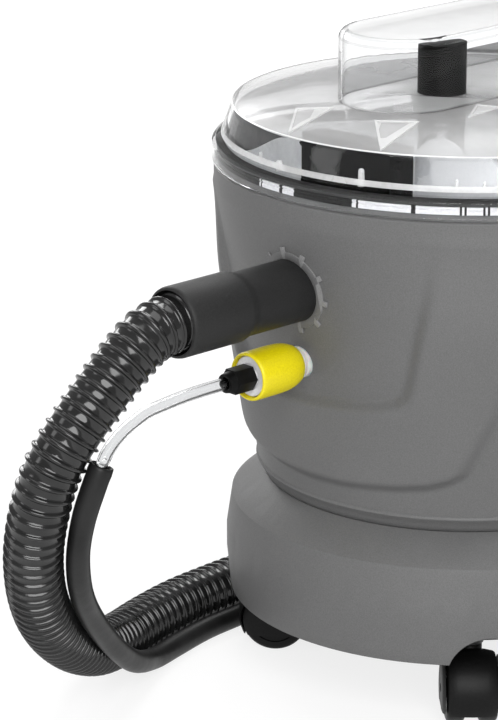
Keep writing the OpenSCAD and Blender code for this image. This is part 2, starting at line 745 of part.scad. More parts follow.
module hose_sleeve() {
    echo("length of the sleeve", line_length(sleeve_line));
    color(rubber_black) solid_tube(sleeve_line, sleeve_rings, sleeve_r);
}

tool_bore_r = 16;
end_cuff_l = 56;

module end_cuff() {
    color(plastic_black) translate(coil_tip) rotate([0, 0, atan2(coil_exit[1], coil_exit[0])]) rotate([0, 90, 0])
        rotate_extrude() polygon([
            [hose_r + 0.3, -16], [cuff_thick_r - 0.6, -16], [cuff_thick_r, -14], [cuff_thick_r, 14],
            [cuff_thin_r - 0.8, 20], [cuff_thin_r - 0.8, end_cuff_l], [tool_bore_r, end_cuff_l],
            [tool_bore_r, 3], [hose_bore_r, 3], [hose_bore_r, 0], [hose_r + 0.3, 0]]);
}

module end_coupling() {
    color(plastic_black) translate(sleeve_tip + 0.2 * coil_exit)
        rotate([0, 0, atan2(coil_exit[1], coil_exit[0])]) rotate([0, 90, 0]) {
            cylinder(r = 4, h = 30);
            translate([0, 0, 6]) cylinder(r = 6.5, h = 14);
        }
}

// ---------- spray coupling ----------

coupling_y = -round(tub_r(coupling_z));
socket_face_y = coupling_y - 3;
collar_l = 46;
nut_rear_y = coupling_y - 45;
plug_r = 11.3;
spigot_r = 5;
barb_y = coupling_y + 17;

module coupling_socket() {
    color(white_plastic) difference() {
        union() {
            difference() {
                rod_on_y(coupling_z, coupling_y + 8, socket_face_y, 10.2);
                tub_outer(0, tub_floor_z);
            }
            rod_on_y(coupling_z, barb_y - 6, socket_face_y - 1, socket_hole_r - 0.05);
            rod_on_y(coupling_z, barb_y + 6, barb_y - 6.5, 6);
            rod_on_y(coupling_z, socket_face_y + 1, coupling_y - 15, spigot_r);
            translate([0, barb_y, coupling_z - 14]) cylinder(r = 4, h = 14);
        }
        rod_on_y(coupling_z, barb_y, coupling_y - 16, 2.5);
        translate([0, barb_y, coupling_z - 15]) cylinder(r = 2.5, h = 15);
    }
}

module coupling_plug() {
    color(white_plastic) translate([0, coupling_y, coupling_z]) rotate([90, 0, 0]) rotate_extrude() polygon([
        [spigot_r + shaft_gap, 4.5], [plug_r - 1.5, 4.5], [plug_r - 1.5, 17], [plug_r, 18], [plug_r, 43],
        [plug_r - 1, 44], [4.5, 44], [4.5, 18], [spigot_r + shaft_gap, 18]]);
}

module coupling_collar() {
    color(signal_yellow) translate([0, coupling_y, coupling_z]) rotate([90, 0, 0]) rotate_extrude() polygon([
        [plug_r + shaft_gap, 3.6],
        [plug_r + 0.9, 3.6],
        [plug_r + 2.1, 7],
        [collar_r - 0.2, 14],
        [collar_r + 0.3, 24],
        [collar_r, 38],
        [collar_r - 0.3, collar_l - 1],
        [collar_r - 1.4, collar_l],
        [plug_r + 1, collar_l],
        [plug_r + shaft_gap, collar_l - 1.5]]);
}

module tube_nut() {
    color(plastic_black) translate([0, 0, coupling_z]) rotate([90, 0, 0]) difference() {
        union() {
            translate([0, 0, -nut_rear_y]) cylinder(r = nut_flats / sqrt(3), h = 15, $fn = 6);
            translate([0, 0, -nut_rear_y - 27]) cylinder(r = 4.4, h = 30);
            translate([0, 0, -nut_rear_y + 15]) cylinder(r1 = 7, r2 = 6, h = 5);
        }
        translate([0, 0, -nut_rear_y + 4]) cylinder(r = tube_r + 0.1, h = 30);
    }
}

spray_route = concat(
    [for (y = [51, 68, 84]) [0, coupling_y - y, coupling_z]],
    ahead([[0, -85, 234.5], [0.5, -100, 233.5], [1, -115, 232], [2, -126, 229], [3, -136, 225.5], [4, -146.5, 219.5]]));

module spray_tube() {
    line = smooth_line(concat(spray_route, [sleeve_mouth - 5 * sleeve_way, sleeve_mouth]));
    echo("length of the spray tube", line_length(line));
    color(clear_tint) solid_tube(line, 22, tube_r);
}

// ---------- rear housing ----------

grille_half_w = 42;
grille_low = 190;
grille_h = 56;
gland_x = rear_half_w - 40;
gland_z = 165;
gland_r = 9;
pivot_y = rear_y - 75;
pivot_z = 326;
pin_r = 4;

module rear_block(inset, low, high) {
    translate([0, 0, low]) linear_extrude(high - low) difference() {
        rear_plan(inset);
        circle(r = rear_gap_r + inset);
    }
}

module rear_housing() {
    color(shell_grey) difference() {
        rear_block(0, base_top_z, cover_z);
        difference() {
            rear_block(shell_wall, base_top_z - 1, cover_z + 1);
            for (s = [-1, 1]) {
                translate([s * rear_screw_x, rear_screw_y, base_top_z - 1]) cylinder(r = 8, h = 19);
                rod_on_x(s * (rear_half_w - 6) - 6, s * (rear_half_w - 6) + 6, pivot_y, pivot_z, 9);
            }
        }
        for (s = [-1, 1])
            translate([s * rear_screw_x, rear_screw_y, base_top_z - 1]) cylinder(r = screw_r + shaft_gap, h = 12);
        for (s = [-1, 1])
            rod_on_x(s * rear_half_w - 14, s * rear_half_w + 14, pivot_y, pivot_z, pin_r + shaft_gap);
        translate([-grille_half_w + 4, rear_y - 10, grille_low + 4]) cube([2 * grille_half_w - 8, 20, grille_h - 8]);
        translate([gland_x, rear_y + 1, gland_z]) rotate([90, 0, 0]) cylinder(r = gland_r - 2, h = 12);
    }
}

cover_top_z = crown_z - 8 - seal_t - move_gap;
switch_x = rear_half_w - 38;
switch_y = rear_y - 42;
switch_half = 13;
switch_up = 4;

module rear_cover() {
    color(shell_grey) difference() {
        union() {
            rear_block(0, cover_z, cover_top_z);
        }
        rear_block(shell_wall, cover_z - 1, cover_top_z - shell_wall);
        translate([0, port_y, cover_z]) cylinder(r = port_r, h = 60);
        for (s = [-1, 1])
            translate([s * switch_x - switch_half - move_gap, switch_y - switch_half - move_gap, cover_z])
                cube([2 * (switch_half + move_gap), 2 * (switch_half + move_gap), 60]);
    }
}

module push_switch(side) {
    color(plastic_black) translate([side * switch_x, switch_y, 0]) {
        translate([-switch_half, -switch_half, cover_top_z - 9])
            cube([2 * switch_half, 2 * switch_half, 9 + switch_up]);
        translate([-switch_half - 2, -switch_half - 2, cover_top_z - 11])
            cube([2 * switch_half + 4, 2 * switch_half + 4, 11 - shell_wall - move_gap]);
    }
}

module suction_switch() {
    push_switch(-1);
}

module spray_switch() {
    push_switch(1);
}

module cord_gland() {
    color(rubber_black) translate([gland_x, rear_y, gland_z]) rotate([-90, 0, 0]) difference() {
        union() {
            cylinder(r = gland_r, h = 4);
            translate([0, 0, -8]) cylinder(r = gland_r - 2, h = 8);
        }
        translate([0, 0, -9]) cylinder(r = 4, h = 14);
    }
}

module exhaust_grille() {
    color(plastic_black) difference() {
        union() {
            translate([-grille_half_w, rear_y, grille_low]) cube([2 * grille_half_w, 3, grille_h]);
            translate([-grille_half_w + 4.2, rear_y - shell_wall, grille_low + 4.2])
                cube([2 * grille_half_w - 8.4, shell_wall, grille_h - 8.4]);
        }
        for (i = [0:5])
            translate([-grille_half_w + 8, rear_y - 6, grille_low + 7.5 + i * 7.5])
                cube([2 * grille_half_w - 16, 20, 3.5]);
    }
}

// ---------- suction motor ----------

motor_r = 45;
motor_low = 150;
motor_high = 258;
fan_r = 52;
fan_low = 266;
fan_high = 284;
fan_case_r = 58;
motor_y = rear_gap_r + shell_wall + fan_case_r + 6;
fan_case_high = 300;
shaft_r = 4;

module motor_casing() {
    color(steel) translate([0, motor_y, 0]) difference() {
        union() {
            translate([0, 0, motor_low]) cylinder(r = motor_r, h = motor_high - motor_low);
            translate([0, 0, base_top_z]) cylinder(r = 24, h = motor_low - base_top_z + 1);
        }
        translate([0, 0, motor_low + 3]) cylinder(r = motor_r - 3, h = motor_high - motor_low - 6);
        translate([0, 0, motor_low - 4]) cylinder(r = shaft_r + shaft_gap, h = 140);
        for (a = [0:60:300]) rotate([0, 0, a]) translate([28, 0, motor_high - 4]) cylinder(r = 6, h = 10);
        for (a = [30:60:330]) rotate([0, 0, a])
            translate([motor_r - 8, -6, motor_low + 14]) cube([20, 12, 40]);
    }
}

module turbine_shaft() {
    color(steel) translate([0, motor_y, 0]) {
        translate([0, 0, motor_low - 1.6]) cylinder(r = shaft_r, h = fan_high - motor_low + 5);
        translate([0, 0, motor_low + 26]) difference() {
            cylinder(r = motor_r - 14, h = 50);
            translate([0, 0, -1]) cylinder(r = shaft_r - 0.5, h = 52);
        }
    }
}

module turbine_fan() {
    color(steel) translate([0, motor_y, 0]) difference() {
        union() {
            translate([0, 0, fan_low]) cylinder(r = fan_r, h = 2);
            translate([0, 0, fan_low]) cylinder(r = 9, h = fan_high - fan_low);
            for (a = [0:45:315]) rotate([0, 0, a])
                translate([8, -1, fan_low + 1]) cube([fan_r - 9, 2, fan_high - fan_low - 1]);
        }
        translate([0, 0, fan_low - 1]) cylinder(r = shaft_r, h = 40);
    }
}

module fan_housing() {
    color(plastic_black) translate([0, motor_y, 0]) difference() {
        union() {
            translate([0, 0, motor_high]) cylinder(r = fan_case_r, h = fan_case_high - motor_high);
            translate([-fan_case_r + 20, 10, motor_high]) cube([2 * fan_case_r - 40, rear_y - motor_y - shell_wall - 10.2, 30]);
        }
        translate([0, 0, motor_high + 3]) cylinder(r = fan_case_r - 3, h = fan_case_high - motor_high - 6);
        translate([0, 0, motor_high - 1]) cylinder(r = 37, h = 10);
        translate([0, 0, fan_case_high - 10]) cylinder(r = port_r, h = 20);
        translate([-fan_case_r + 23, 20, motor_high + 3]) cube([2 * fan_case_r - 46, 30, 24]);
        translate([-fan_case_r + 23, 20, motor_high - 10]) cube([2 * fan_case_r - 46, 30, 20]);
    }
}

module suction_duct() {
    color(plastic_black) difference() {
        union() {
            translate([0, port_y, fan_case_high + 12])
                cylinder(r = port_r + 2.5, h = cover_top_z - shell_wall - fan_case_high - 12);
            translate([0, port_y, cover_top_z - shell_wall - 3]) cylinder(r = port_r + 7, h = 3);
            translate([0, motor_y, fan_case_high]) cylinder(r = port_r + 2.5, h = 3);
            translate([-port_r - 2.5, port_y, fan_case_high]) cube([2 * port_r + 5, motor_y - port_y, 14.5]);
            translate([0, port_y, fan_case_high]) cylinder(r = port_r + 2.5, h = 13);
            translate([0, motor_y, fan_case_high]) cylinder(r = port_r + 2.5, h = 14.5);
        }
        translate([0, port_y, fan_case_high + 2.5]) cylinder(r = port_r, h = 200);
        translate([0, motor_y, fan_case_high - 1]) cylinder(r = port_r, h = 13);
        translate([-port_r, port_y, fan_case_high + 2.5]) cube([2 * port_r, motor_y - port_y, 9.5]);
    }
}

module duct_seal() {
    color(rubber_black) translate([0, port_y, cover_top_z]) difference() {
        cylinder(r = port_r + 8, h = seal_t);
        translate([0, 0, -1]) cylinder(r = port_r, h = seal_t + 2);
    }
}

// ---------- spray pump and its hoses ----------

pump_z = 96;
pump_r = 17;
pump_front_y = -25;
pump_rear_y = 75;
plunger_r = 5;

module spray_pump() {
    color(steel) difference() {
        union() {
            translate([0, pump_rear_y, pump_z]) rotate([90, 0, 0]) cylinder(r = pump_r, h = pump_rear_y - pump_front_y);
            translate([0, pump_rear_y + 12, pump_z]) rotate([90, 0, 0]) cylinder(r = tube_r, h = 13);
            translate([0, pump_front_y + 1, pump_z]) rotate([90, 0, 0]) cylinder(r = tube_r, h = 13);
            translate([-12, pump_front_y + 20, plate_z + plate_t]) cube([24, 14, pump_z - plate_z - plate_t]);
            translate([-12, pump_rear_y - 34, plate_z + plate_t]) cube([24, 14, pump_z - plate_z - plate_t]);
        }
        translate([0, pump_rear_y - 20, pump_z]) rotate([90, 0, 0]) cylinder(r = plunger_r + shaft_gap, h = 60);
        translate([0, pump_rear_y + 13, pump_z]) rotate([90, 0, 0]) cylinder(r = 2, h = 40);
        translate([0, pump_front_y + 30, pump_z]) rotate([90, 0, 0]) cylinder(r = 2, h = 50);
    }
}

module pump_plunger() {
    color(steel) translate([0, pump_rear_y - 26, pump_z]) rotate([90, 0, 0]) difference() {
        cylinder(r = plunger_r, h = 48);
        translate([0, 0, -1]) cylinder(r = 2, h = 50);
    }
}

module pump_inlet_hose() {
    route = [[filter_x, filter_y, tub_floor_z - 9], [filter_x, filter_y, 117], [filter_x, filter_y + 1, 111],
        [filter_x - 1, filter_y + 9, 101], [66, 64, pump_z], [60, 87, pump_z], [46, 108, pump_z], [26, 117, pump_z],
        [8, 113, pump_z], [0, 101, pump_z], [0, pump_rear_y + 19, pump_z], [0, pump_rear_y + 12.2, pump_z]];
    color(rubber_black) solid_tube(smooth_line(route), 30, tube_r - 0.2);
}

module pump_outlet_hose() {
    route = [[0, pump_front_y - 12.2, pump_z], [0, -48, pump_z], [0, -62, pump_z], [0, -86, 99], [0, -106, 108],
        [0, outlet_pass_y, 124], [0, outlet_pass_y, 141], [0, outlet_pass_y - 2, 162], [0, barb_y + 5, 187], [0, barb_y, 204],
        [0, barb_y, 212], [0, barb_y, coupling_z - 14.2]];
    color(rubber_black) solid_tube(smooth_line(route), 28, tube_r - 0.2);
}

module tank_filter() {
    color(white_plastic) translate([filter_x, filter_y, 0]) difference() {
        union() {
            translate([0, 0, tub_floor_z + tub_wall]) cylinder(r = 13, h = 22);
            translate([0, 0, tub_floor_z - 8.8]) cylinder(r = hose_pass_r - 3.05, h = 20);
        }
        translate([0, 0, tub_floor_z + 6]) cylinder(r = 10.5, h = 17);
        translate([0, 0, tub_floor_z - 9]) cylinder(r = 2.5, h = 20);
        for (a = [0:45:315]) rotate([0, 0, a])
            translate([8, -1.5, tub_floor_z + 9]) cube([8, 3, 13]);
    }
}

// ---------- carry handle ----------

handle_x = rear_half_w + move_gap;
handle_t = 11;
handle_reach = 125.3;
grip_r = 13;
grip_half = 62;

module carry_handle() {
    color(plastic_black) difference() {
        union() {
            for (s = [-1, 1]) {
                x_low = s > 0 ? handle_x : -handle_x - handle_t;
                rod_on_x(x_low, x_low + handle_t, pivot_y, pivot_z, 15);
                translate([x_low, pivot_y, pivot_z - 9]) cube([handle_t, handle_reach, 18]);
                rod_on_x(x_low, x_low + handle_t, pivot_y + handle_reach, pivot_z, 11);
            }
            rod_on_x(-handle_x - handle_t, handle_x + handle_t, pivot_y + handle_reach, pivot_z, 8);
        }
        rod_on_x(-handle_x - handle_t - 1, handle_x + handle_t + 1, pivot_y, pivot_z, pin_r + shaft_gap);
    }
}

module handle_grip() {
    color(rubber_black) difference() {
        rod_on_x(-grip_half, grip_half, pivot_y + handle_reach, pivot_z, grip_r);
        rod_on_x(-grip_half - 1, grip_half + 1, pivot_y + handle_reach, pivot_z, 8);
    }
}

module handle_pins() {
    color(steel) for (s = [-1, 1]) {
        x_in = s * (rear_half_w - 11);
        x_out = s * (handle_x + handle_t + 0.4);
        rod_on_x(min(x_in, x_out), max(x_in, x_out), pivot_y, pivot_z, pin_r);
        rod_on_x(min(x_out, x_out + s * 2), max(x_out, x_out + s * 2), pivot_y, pivot_z, pin_r + 4);
    }
}

// ---------- wheels and castors ----------

wheel_x = rear_half_w + 5;
tyre_t = 7;
cap_t = 3;

module rear_axle() {
    color(steel) rod_on_x(-wheel_x - wheel_w - 4, wheel_x + wheel_w + 4, axle_y, axle_z, axle_r);
    for (s = [-1, 1]) {
        x_cap = s * (wheel_x + wheel_w + 1.5);
        color(steel) rod_on_x(min(x_cap, x_cap + s * cap_t), max(x_cap, x_cap + s * cap_t), axle_y, axle_z, 10);
    }
}

module rear_wheel(side) {
    x_low = side > 0 ? wheel_x : -wheel_x - wheel_w;
    x_out = side > 0 ? wheel_x + wheel_w - 9 : -wheel_x - wheel_w - 1;
    color(plastic_black) difference() {
        rod_on_x(x_low, x_low + wheel_w, axle_y, axle_z, wheel_r - tyre_t);
        rod_on_x(x_low - 1, x_low + wheel_w + 1, axle_y, axle_z, axle_r + shaft_gap);
        difference() {
            rod_on_x(x_out, x_out + 10, axle_y, axle_z, wheel_r - tyre_t - 8);
            rod_on_x(x_out - 1, x_out + 11, axle_y, axle_z, 20);
            for (a = [0:60:300])
                translate([0, axle_y, axle_z]) rotate([a, 0, 0])
                    translate([x_out - 1, 16, -4]) cube([12, wheel_r - tyre_t - 20, 8]);
        }
    }
}

module rear_tyre(side) {
    x_low = side > 0 ? wheel_x : -wheel_x - wheel_w;
    color(rubber_black) translate([x_low, axle_y, axle_z]) rotate([0, 90, 0]) rotate_extrude() polygon([
        [wheel_r - tyre_t, 1], [wheel_r - 3, 1], [wheel_r, 5], [wheel_r, wheel_w - 5], [wheel_r - 3, wheel_w - 1],
        [wheel_r - tyre_t, wheel_w - 1]]);
}

module rear_wheel_left() {
    rear_wheel(-1);
}

module rear_wheel_right() {
    rear_wheel(1);
}

module rear_tyre_left() {
    rear_tyre(-1);
}

module rear_tyre_right() {
    rear_tyre(1);
}

hood_r = castor_r + 2.2;
web_half = 4;
castor_axle_r = 3;
castor_gap = 0.8;
stem_top = socket_z + 35;

// Places its children at a castor, with the wheels trailing away from the tub axis
module at_castor(side) {
    translate([side * castor_x, castor_y, 0]) rotate([0, 0, side * castor_angle]) children();
}

module castor_fork(side) {
    color(plastic_black) at_castor(side) {
        translate([0, 0, socket_z - 12]) cylinder(r = stem_r, h = stem_top - socket_z + 12);
        difference() {
            union() {
                translate([0, -castor_trail, castor_r]) rotate([0, 90, 0])
                    cylinder(r = hood_r, h = 2 * (web_half + castor_w + 2.2), center = true);
                translate([0, 0, castor_r + 6]) cylinder(r = 8, h = socket_z - castor_r - 7);
            }
            for (s = [-1, 1])
                translate([s * (web_half + castor_w / 2 + 0.4), -castor_trail, castor_r]) rotate([0, 90, 0])
                    cylinder(r = castor_r + castor_gap, h = castor_w + 0.8, center = true);
            translate([-40, -castor_trail - 40, -10]) cube([80, 80, castor_r - 1]);
            translate([-40, -castor_trail - 40, castor_r - 12]) rotate([24, 0, 0]) cube([80, 44, 14]);
            translate([0, -castor_trail, castor_r]) rotate([0, 90, 0])
                cylinder(r = castor_axle_r + shaft_gap, h = 80, center = true);
        }
        difference() {
            translate([0, -castor_trail, castor_r]) rotate([0, 90, 0]) cylinder(r = 8, h = 2 * web_half, center = true);
            translate([0, -castor_trail, castor_r]) rotate([0, 90, 0])
                cylinder(r = castor_axle_r + shaft_gap, h = 80, center = true);
        }
    }
}

module castor_axles(side) {
    color(steel) at_castor(side) translate([0, -castor_trail, castor_r]) rotate([0, 90, 0])
        cylinder(r = castor_axle_r, h = 2 * (web_half + castor_w + 1), center = true);
}

module castor_wheel(side, s) {
    color(plastic_black) at_castor(side) translate([s * (web_half + castor_w / 2 + 0.4), -castor_trail, castor_r])
        rotate([0, 90, 0]) difference() {
            rotate_extrude() polygon([
                [castor_axle_r + shaft_gap, -castor_w / 2], [castor_r - 2, -castor_w / 2], [castor_r, -castor_w / 2 + 2],
                [castor_r, castor_w / 2 - 2], [castor_r - 2, castor_w / 2], [castor_axle_r + shaft_gap, castor_w / 2]]);
        }
}

module castor_fork_left() {
    castor_fork(-1);
}

module castor_fork_right() {
    castor_fork(1);
}

module castor_axles_left() {
    castor_axles(-1);
}

module castor_axles_right() {
    castor_axles(1);
}

// ---------- screws ----------

module screw(head_z) {
    translate([0, 0, head_z - 3]) cylinder(r = 4.5, h = 3);
    translate([0, 0, head_z - 0.5]) cylinder(r = screw_r, h = 12);
}

module body_screws() {
    color(steel) {
        for (a = screw_angles)
            rotate([0, 0, a]) translate([screw_ring_r, 0, 0]) screw(deck_z);
        for (s = [-1, 1])
            translate([s * rear_screw_x, rear_screw_y, 0]) screw(deck_z);
    }
}

// ---------- assembly ----------

// The origin lies on the floor below the middle of the machine's length
middle_y = (pivot_y + handle_reach + grip_r - lid_r) / 2;

module placed() {
    translate([0, -middle_y, 0]) children();
}

placed() base_shell();
placed() base_plate();
placed() tub_housing();
placed() rear_housing();
placed() rear_cover();
placed() suction_switch();
placed() spray_switch();
placed() cord_gland();
placed() exhaust_grille();
placed() motor_casing();
placed() turbine_shaft();
placed() turbine_fan();
placed() fan_housing();
placed() suction_duct();
placed() duct_seal();
placed() spray_pump();
placed() pump_plunger();
placed() pump_inlet_hose();
placed() pump_outlet_hose();
placed() tank_filter();
placed() recovery_tank();
placed() inlet_duct();
placed() splash_guard();
placed() lid();
placed() lid_seal();
placed() dome();
placed() float_cage();
placed() float_ball();
placed() inlet_socket();
placed() inlet_seal();
placed() hose_cuff();
placed() suction_hose();
placed() hose_coil();
placed() hose_sleeve();
placed() end_cuff();
placed() end_coupling();
placed() coupling_socket();
placed() coupling_collar();
placed() coupling_plug();
placed() tube_nut();
placed() spray_tube();
placed() carry_handle();
placed() handle_grip();
placed() handle_pins();
placed() rear_axle();
placed() rear_wheel_left();
placed() rear_wheel_right();
placed() rear_tyre_left();
placed() rear_tyre_right();
placed() castor_sockets();
placed() castor_fork_left();
placed() castor_fork_right();
placed() castor_axles_left();
placed() castor_axles_right();
placed() castor_wheel(-1, -1);  // castor_wheel_left_a
placed() castor_wheel(-1, 1);  // castor_wheel_left_b
placed() castor_wheel(1, -1);  // castor_wheel_right_a
placed() castor_wheel(1, 1);  // castor_wheel_right_b
placed() body_screws();
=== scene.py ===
import json
from math import atan2, cos, degrees, hypot, pi, radians, sin, sqrt

import bmesh
import bpy
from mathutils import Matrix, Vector

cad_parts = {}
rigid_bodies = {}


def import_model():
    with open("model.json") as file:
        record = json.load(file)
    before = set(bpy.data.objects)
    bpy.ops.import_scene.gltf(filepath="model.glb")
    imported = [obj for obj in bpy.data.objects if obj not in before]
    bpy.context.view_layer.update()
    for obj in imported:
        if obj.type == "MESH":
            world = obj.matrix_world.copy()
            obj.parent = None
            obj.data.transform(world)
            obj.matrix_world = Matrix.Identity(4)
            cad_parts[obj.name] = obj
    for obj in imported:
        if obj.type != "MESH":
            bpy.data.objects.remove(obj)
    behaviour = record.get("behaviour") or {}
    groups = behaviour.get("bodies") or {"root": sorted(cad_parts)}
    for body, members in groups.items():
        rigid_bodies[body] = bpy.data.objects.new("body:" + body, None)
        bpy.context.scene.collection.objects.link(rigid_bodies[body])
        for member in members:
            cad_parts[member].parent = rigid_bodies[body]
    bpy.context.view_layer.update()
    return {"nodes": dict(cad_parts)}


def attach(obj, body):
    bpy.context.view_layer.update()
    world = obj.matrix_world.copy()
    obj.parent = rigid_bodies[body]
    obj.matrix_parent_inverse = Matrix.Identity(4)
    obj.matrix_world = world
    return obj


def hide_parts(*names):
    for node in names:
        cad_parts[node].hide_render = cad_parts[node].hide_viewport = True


# Spot extractor, dressed round its CAD frame. Metres, +Z up, front along -Y.
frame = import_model()
cadNodes = frame["nodes"]
middleY = 0.1  # the tub's axis stands this far in front of the frame's origin


def at(x, y, z):
    # A place given in millimetres from the tub's axis, as a point in the frame
    return Vector((x / 1000, y / 1000 - middleY, z / 1000))


cameraLook = {
    "place": (1.34266, -1.57556, 0.84105),
    "tilt": 72.226,
    "turn": 46.3,
    "lens": 158.7,
}

cameraData = bpy.data.cameras.new("studioCamera")
cameraData.lens = cameraLook["lens"]
cameraData.sensor_width = 36
studioCamera = bpy.data.objects.new("studioCamera", cameraData)
studioCamera.location = cameraLook["place"]
studioCamera.rotation_euler = (radians(cameraLook["tilt"]), 0, radians(cameraLook["turn"]))
bpy.context.scene.collection.objects.link(studioCamera)
bpy.context.scene.camera = studioCamera
bpy.context.scene.view_settings.view_transform = "Standard"
print("camera set")


def clearSelection():
    if bpy.context.mode != "OBJECT":
        bpy.ops.object.mode_set(mode="OBJECT")
    for other in bpy.context.view_layer.objects:
        if other.select_get():
            other.select_set(False)


def selectOnly(piece):
    clearSelection()
    piece.select_set(True)
    bpy.context.view_layer.objects.active = piece


def editOnly(piece):
    selectOnly(piece)
    bpy.ops.object.mode_set(mode="EDIT")
    bpy.ops.mesh.select_all(action="SELECT")


def applyModifiers(piece):
    selectOnly(piece)
    for modifier in list(piece.modifiers):
        bpy.ops.object.modifier_apply(modifier=modifier.name)


def settle(piece, name):
    # Puts the piece's place into its mesh, and its object at the origin
    piece.name = name
    piece.data.name = name
    selectOnly(piece)
    bpy.ops.object.transform_apply(location=True, rotation=True, scale=True)
    return piece


def smoothed(piece, angle=35):
    selectOnly(piece)
    bpy.ops.object.shade_smooth_by_angle(angle=radians(angle))
    return piece


def bevelled(piece, width, segments, angle=30):
    edge = piece.modifiers.new("edge", "BEVEL")
    edge.width = width / 1000
    edge.segments = segments
    edge.limit_method = "ANGLE"
    edge.angle_limit = radians(angle)
    applyModifiers(piece)
    return piece


# A ring shape turned on an axis, from its rings of (distance along the axis, radius) in mm
def turned(name, centre, axis, rings, sides=64, closed=False):
    clearSelection()
    axis = Vector(axis).normalized()
    first = rings[0]
    bpy.ops.mesh.primitive_circle_add(
        vertices=sides, radius=first[1] / 1000, fill_type="NOTHING",
        location=centre + axis * first[0] / 1000, rotation=axis.to_track_quat("Z", "Y").to_euler())
    piece = bpy.context.object
    bpy.ops.object.mode_set(mode="EDIT")
    bpy.ops.mesh.select_all(action="SELECT")
    for (a, wide), (b, nextWide) in zip(rings, rings[1:]):
        bpy.ops.mesh.extrude_region_move(
            TRANSFORM_OT_translate={"value": tuple(axis * (b - a) / 1000)})
        if abs(nextWide - wide) > 1e-6:
            share = nextWide / wide
            bpy.ops.transform.resize(value=(share, share, share),
                                     center_override=tuple(centre + axis * b / 1000))
    bpy.ops.mesh.select_mode(type="EDGE")
    bpy.ops.mesh.select_all(action="DESELECT")
    bpy.ops.mesh.select_non_manifold()
    if closed:
        bpy.ops.mesh.bridge_edge_loops()
    else:
        bpy.ops.mesh.fill_holes(sides=0)
    bpy.ops.mesh.select_all(action="SELECT")
    bpy.ops.mesh.normals_make_consistent(inside=False)
    bpy.ops.mesh.select_mode(type="VERT")
    bpy.ops.object.mode_set(mode="OBJECT")
    return settle(piece, name)


def block(name, low, high, bevel):
    # A moulded bar between two corners in mm from the tub's axis, with soft edges
    clearSelection()
    low, high = at(*low), at(*high)
    bpy.ops.mesh.primitive_cube_add(size=1, location=(low + high) / 2, scale=high - low)
    piece = settle(bpy.context.object, name)
    return bevelled(piece, bevel, 3)


def cutAway(piece, *cutters):
    for cutter in cutters:
        cut = piece.modifiers.new("cut", "BOOLEAN")
        cut.operation = "DIFFERENCE"
        cut.object = cutter
        cut.solver = "EXACT"
        applyModifiers(piece)
        bpy.data.objects.remove(cutter)
    return piece


def joined(piece, *others):
    selectOnly(piece)
    for other in others:
        other.select_set(True)
    bpy.ops.object.join()
    return piece


def softened(node, name, width):
    # A copy of a CAD node with soft edges
    piece = bpy.data.objects.new(name, cadNodes[node].data.copy())
    bpy.context.scene.collection.objects.link(piece)
    piece.data.name = name
    editOnly(piece)
    bpy.ops.mesh.remove_doubles(threshold=0.00001)
    bpy.ops.mesh.dissolve_limited(angle_limit=radians(0.6))
    bpy.ops.object.mode_set(mode="OBJECT")
    bevelled(piece, width, 2, 32)
    return smoothed(piece, 38)


# Every finished piece rides on its body, takes its material, and stands for its nodes
def mount(piece, body, slotName, material, *nodes):
    piece.data.materials.clear()
    piece.data.materials.append(material)
    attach(piece, body)
    if nodes:
        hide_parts(*nodes)
    return piece


def secondFinish(piece, material, chosen):
    # Gives the faces that a test picks a second material
    piece.data.materials.append(material)
    index = len(piece.data.materials) - 1
    for face in piece.data.polygons:
        if chosen(face):
            face.material_index = index


def smoothStep(t):
    t = min(1.0, max(0.0, t))
    return t * t * (3 - 2 * t)


def freshMaterial(name, colour, roughness, **sockets):
    material = bpy.data.materials.new(name)
    material.use_nodes = True
    shader = material.node_tree.nodes["Principled BSDF"]
    shader.inputs["Base Color"].default_value = (*colour, 1)
    shader.inputs["Roughness"].default_value = roughness
    for socket, value in sockets.items():
        shader.inputs[socket.replace("_", " ")].default_value = value
    material.diffuse_color = (*colour, 1)
    return material, material.node_tree.nodes, material.node_tree.links, shader


def objectPlace(nodes):
    return nodes.new("ShaderNodeTexCoord").outputs["Object"]


def noiseAt(nodes, links, place, scale, detail=2, rough=0.5, stretch=None):
    source = place
    if stretch:
        mapping = nodes.new("ShaderNodeMapping")
        mapping.inputs["Scale"].default_value = stretch
        links.new(place, mapping.inputs["Vector"])
        source = mapping.outputs["Vector"]
    noise = nodes.new("ShaderNodeTexNoise")
    noise.inputs["Scale"].default_value = scale
    noise.inputs["Detail"].default_value = detail
    noise.inputs["Roughness"].default_value = rough
    links.new(source, noise.inputs["Vector"])
    return noise.outputs["Fac"]


def ramp(nodes, links, source, stops):
    blend = nodes.new("ShaderNodeValToRGB")
    elements = blend.color_ramp.elements
    while len(elements) < len(stops):
        elements.new(0.5)
    for element, (spot, colour) in zip(elements, stops):
        element.position = spot
        element.color = (*colour, 1)
    links.new(source, blend.inputs["Fac"])
    return blend.outputs["Color"]


def spread(nodes, links, source, low, high):
    # Maps a noise's middle part onto a range of values
    reach = nodes.new("ShaderNodeMapRange")
    reach.inputs["From Min"].default_value = 0.3
    reach.inputs["From Max"].default_value = 0.7
    reach.inputs["To Min"].default_value = low
    reach.inputs["To Max"].default_value = high
    links.new(source, reach.inputs["Value"])
    return reach.outputs["Result"]


def bump(nodes, links, shader, source, strength, distance, under=None):
    relief = nodes.new("ShaderNodeBump")
    relief.inputs["Strength"].default_value = strength
    relief.inputs["Distance"].default_value = distance
    links.new(source, relief.inputs["Height"])
    if under:
        links.new(under, relief.inputs["Normal"])
    links.new(relief.outputs["Normal"], shader.inputs["Normal"])
    return relief.outputs["Normal"]


def combined(nodes, links, operation, *sources):
    # A math node on two values; a source is an output or a number
    step = nodes.new("ShaderNodeMath")
    step.operation = operation
    for socket, source in zip(step.inputs, sources):
        if isinstance(source, float):
            socket.default_value = source
        else:
            links.new(source, socket)
    return step.outputs[0]


def grey(level):
    return (level, level, level)


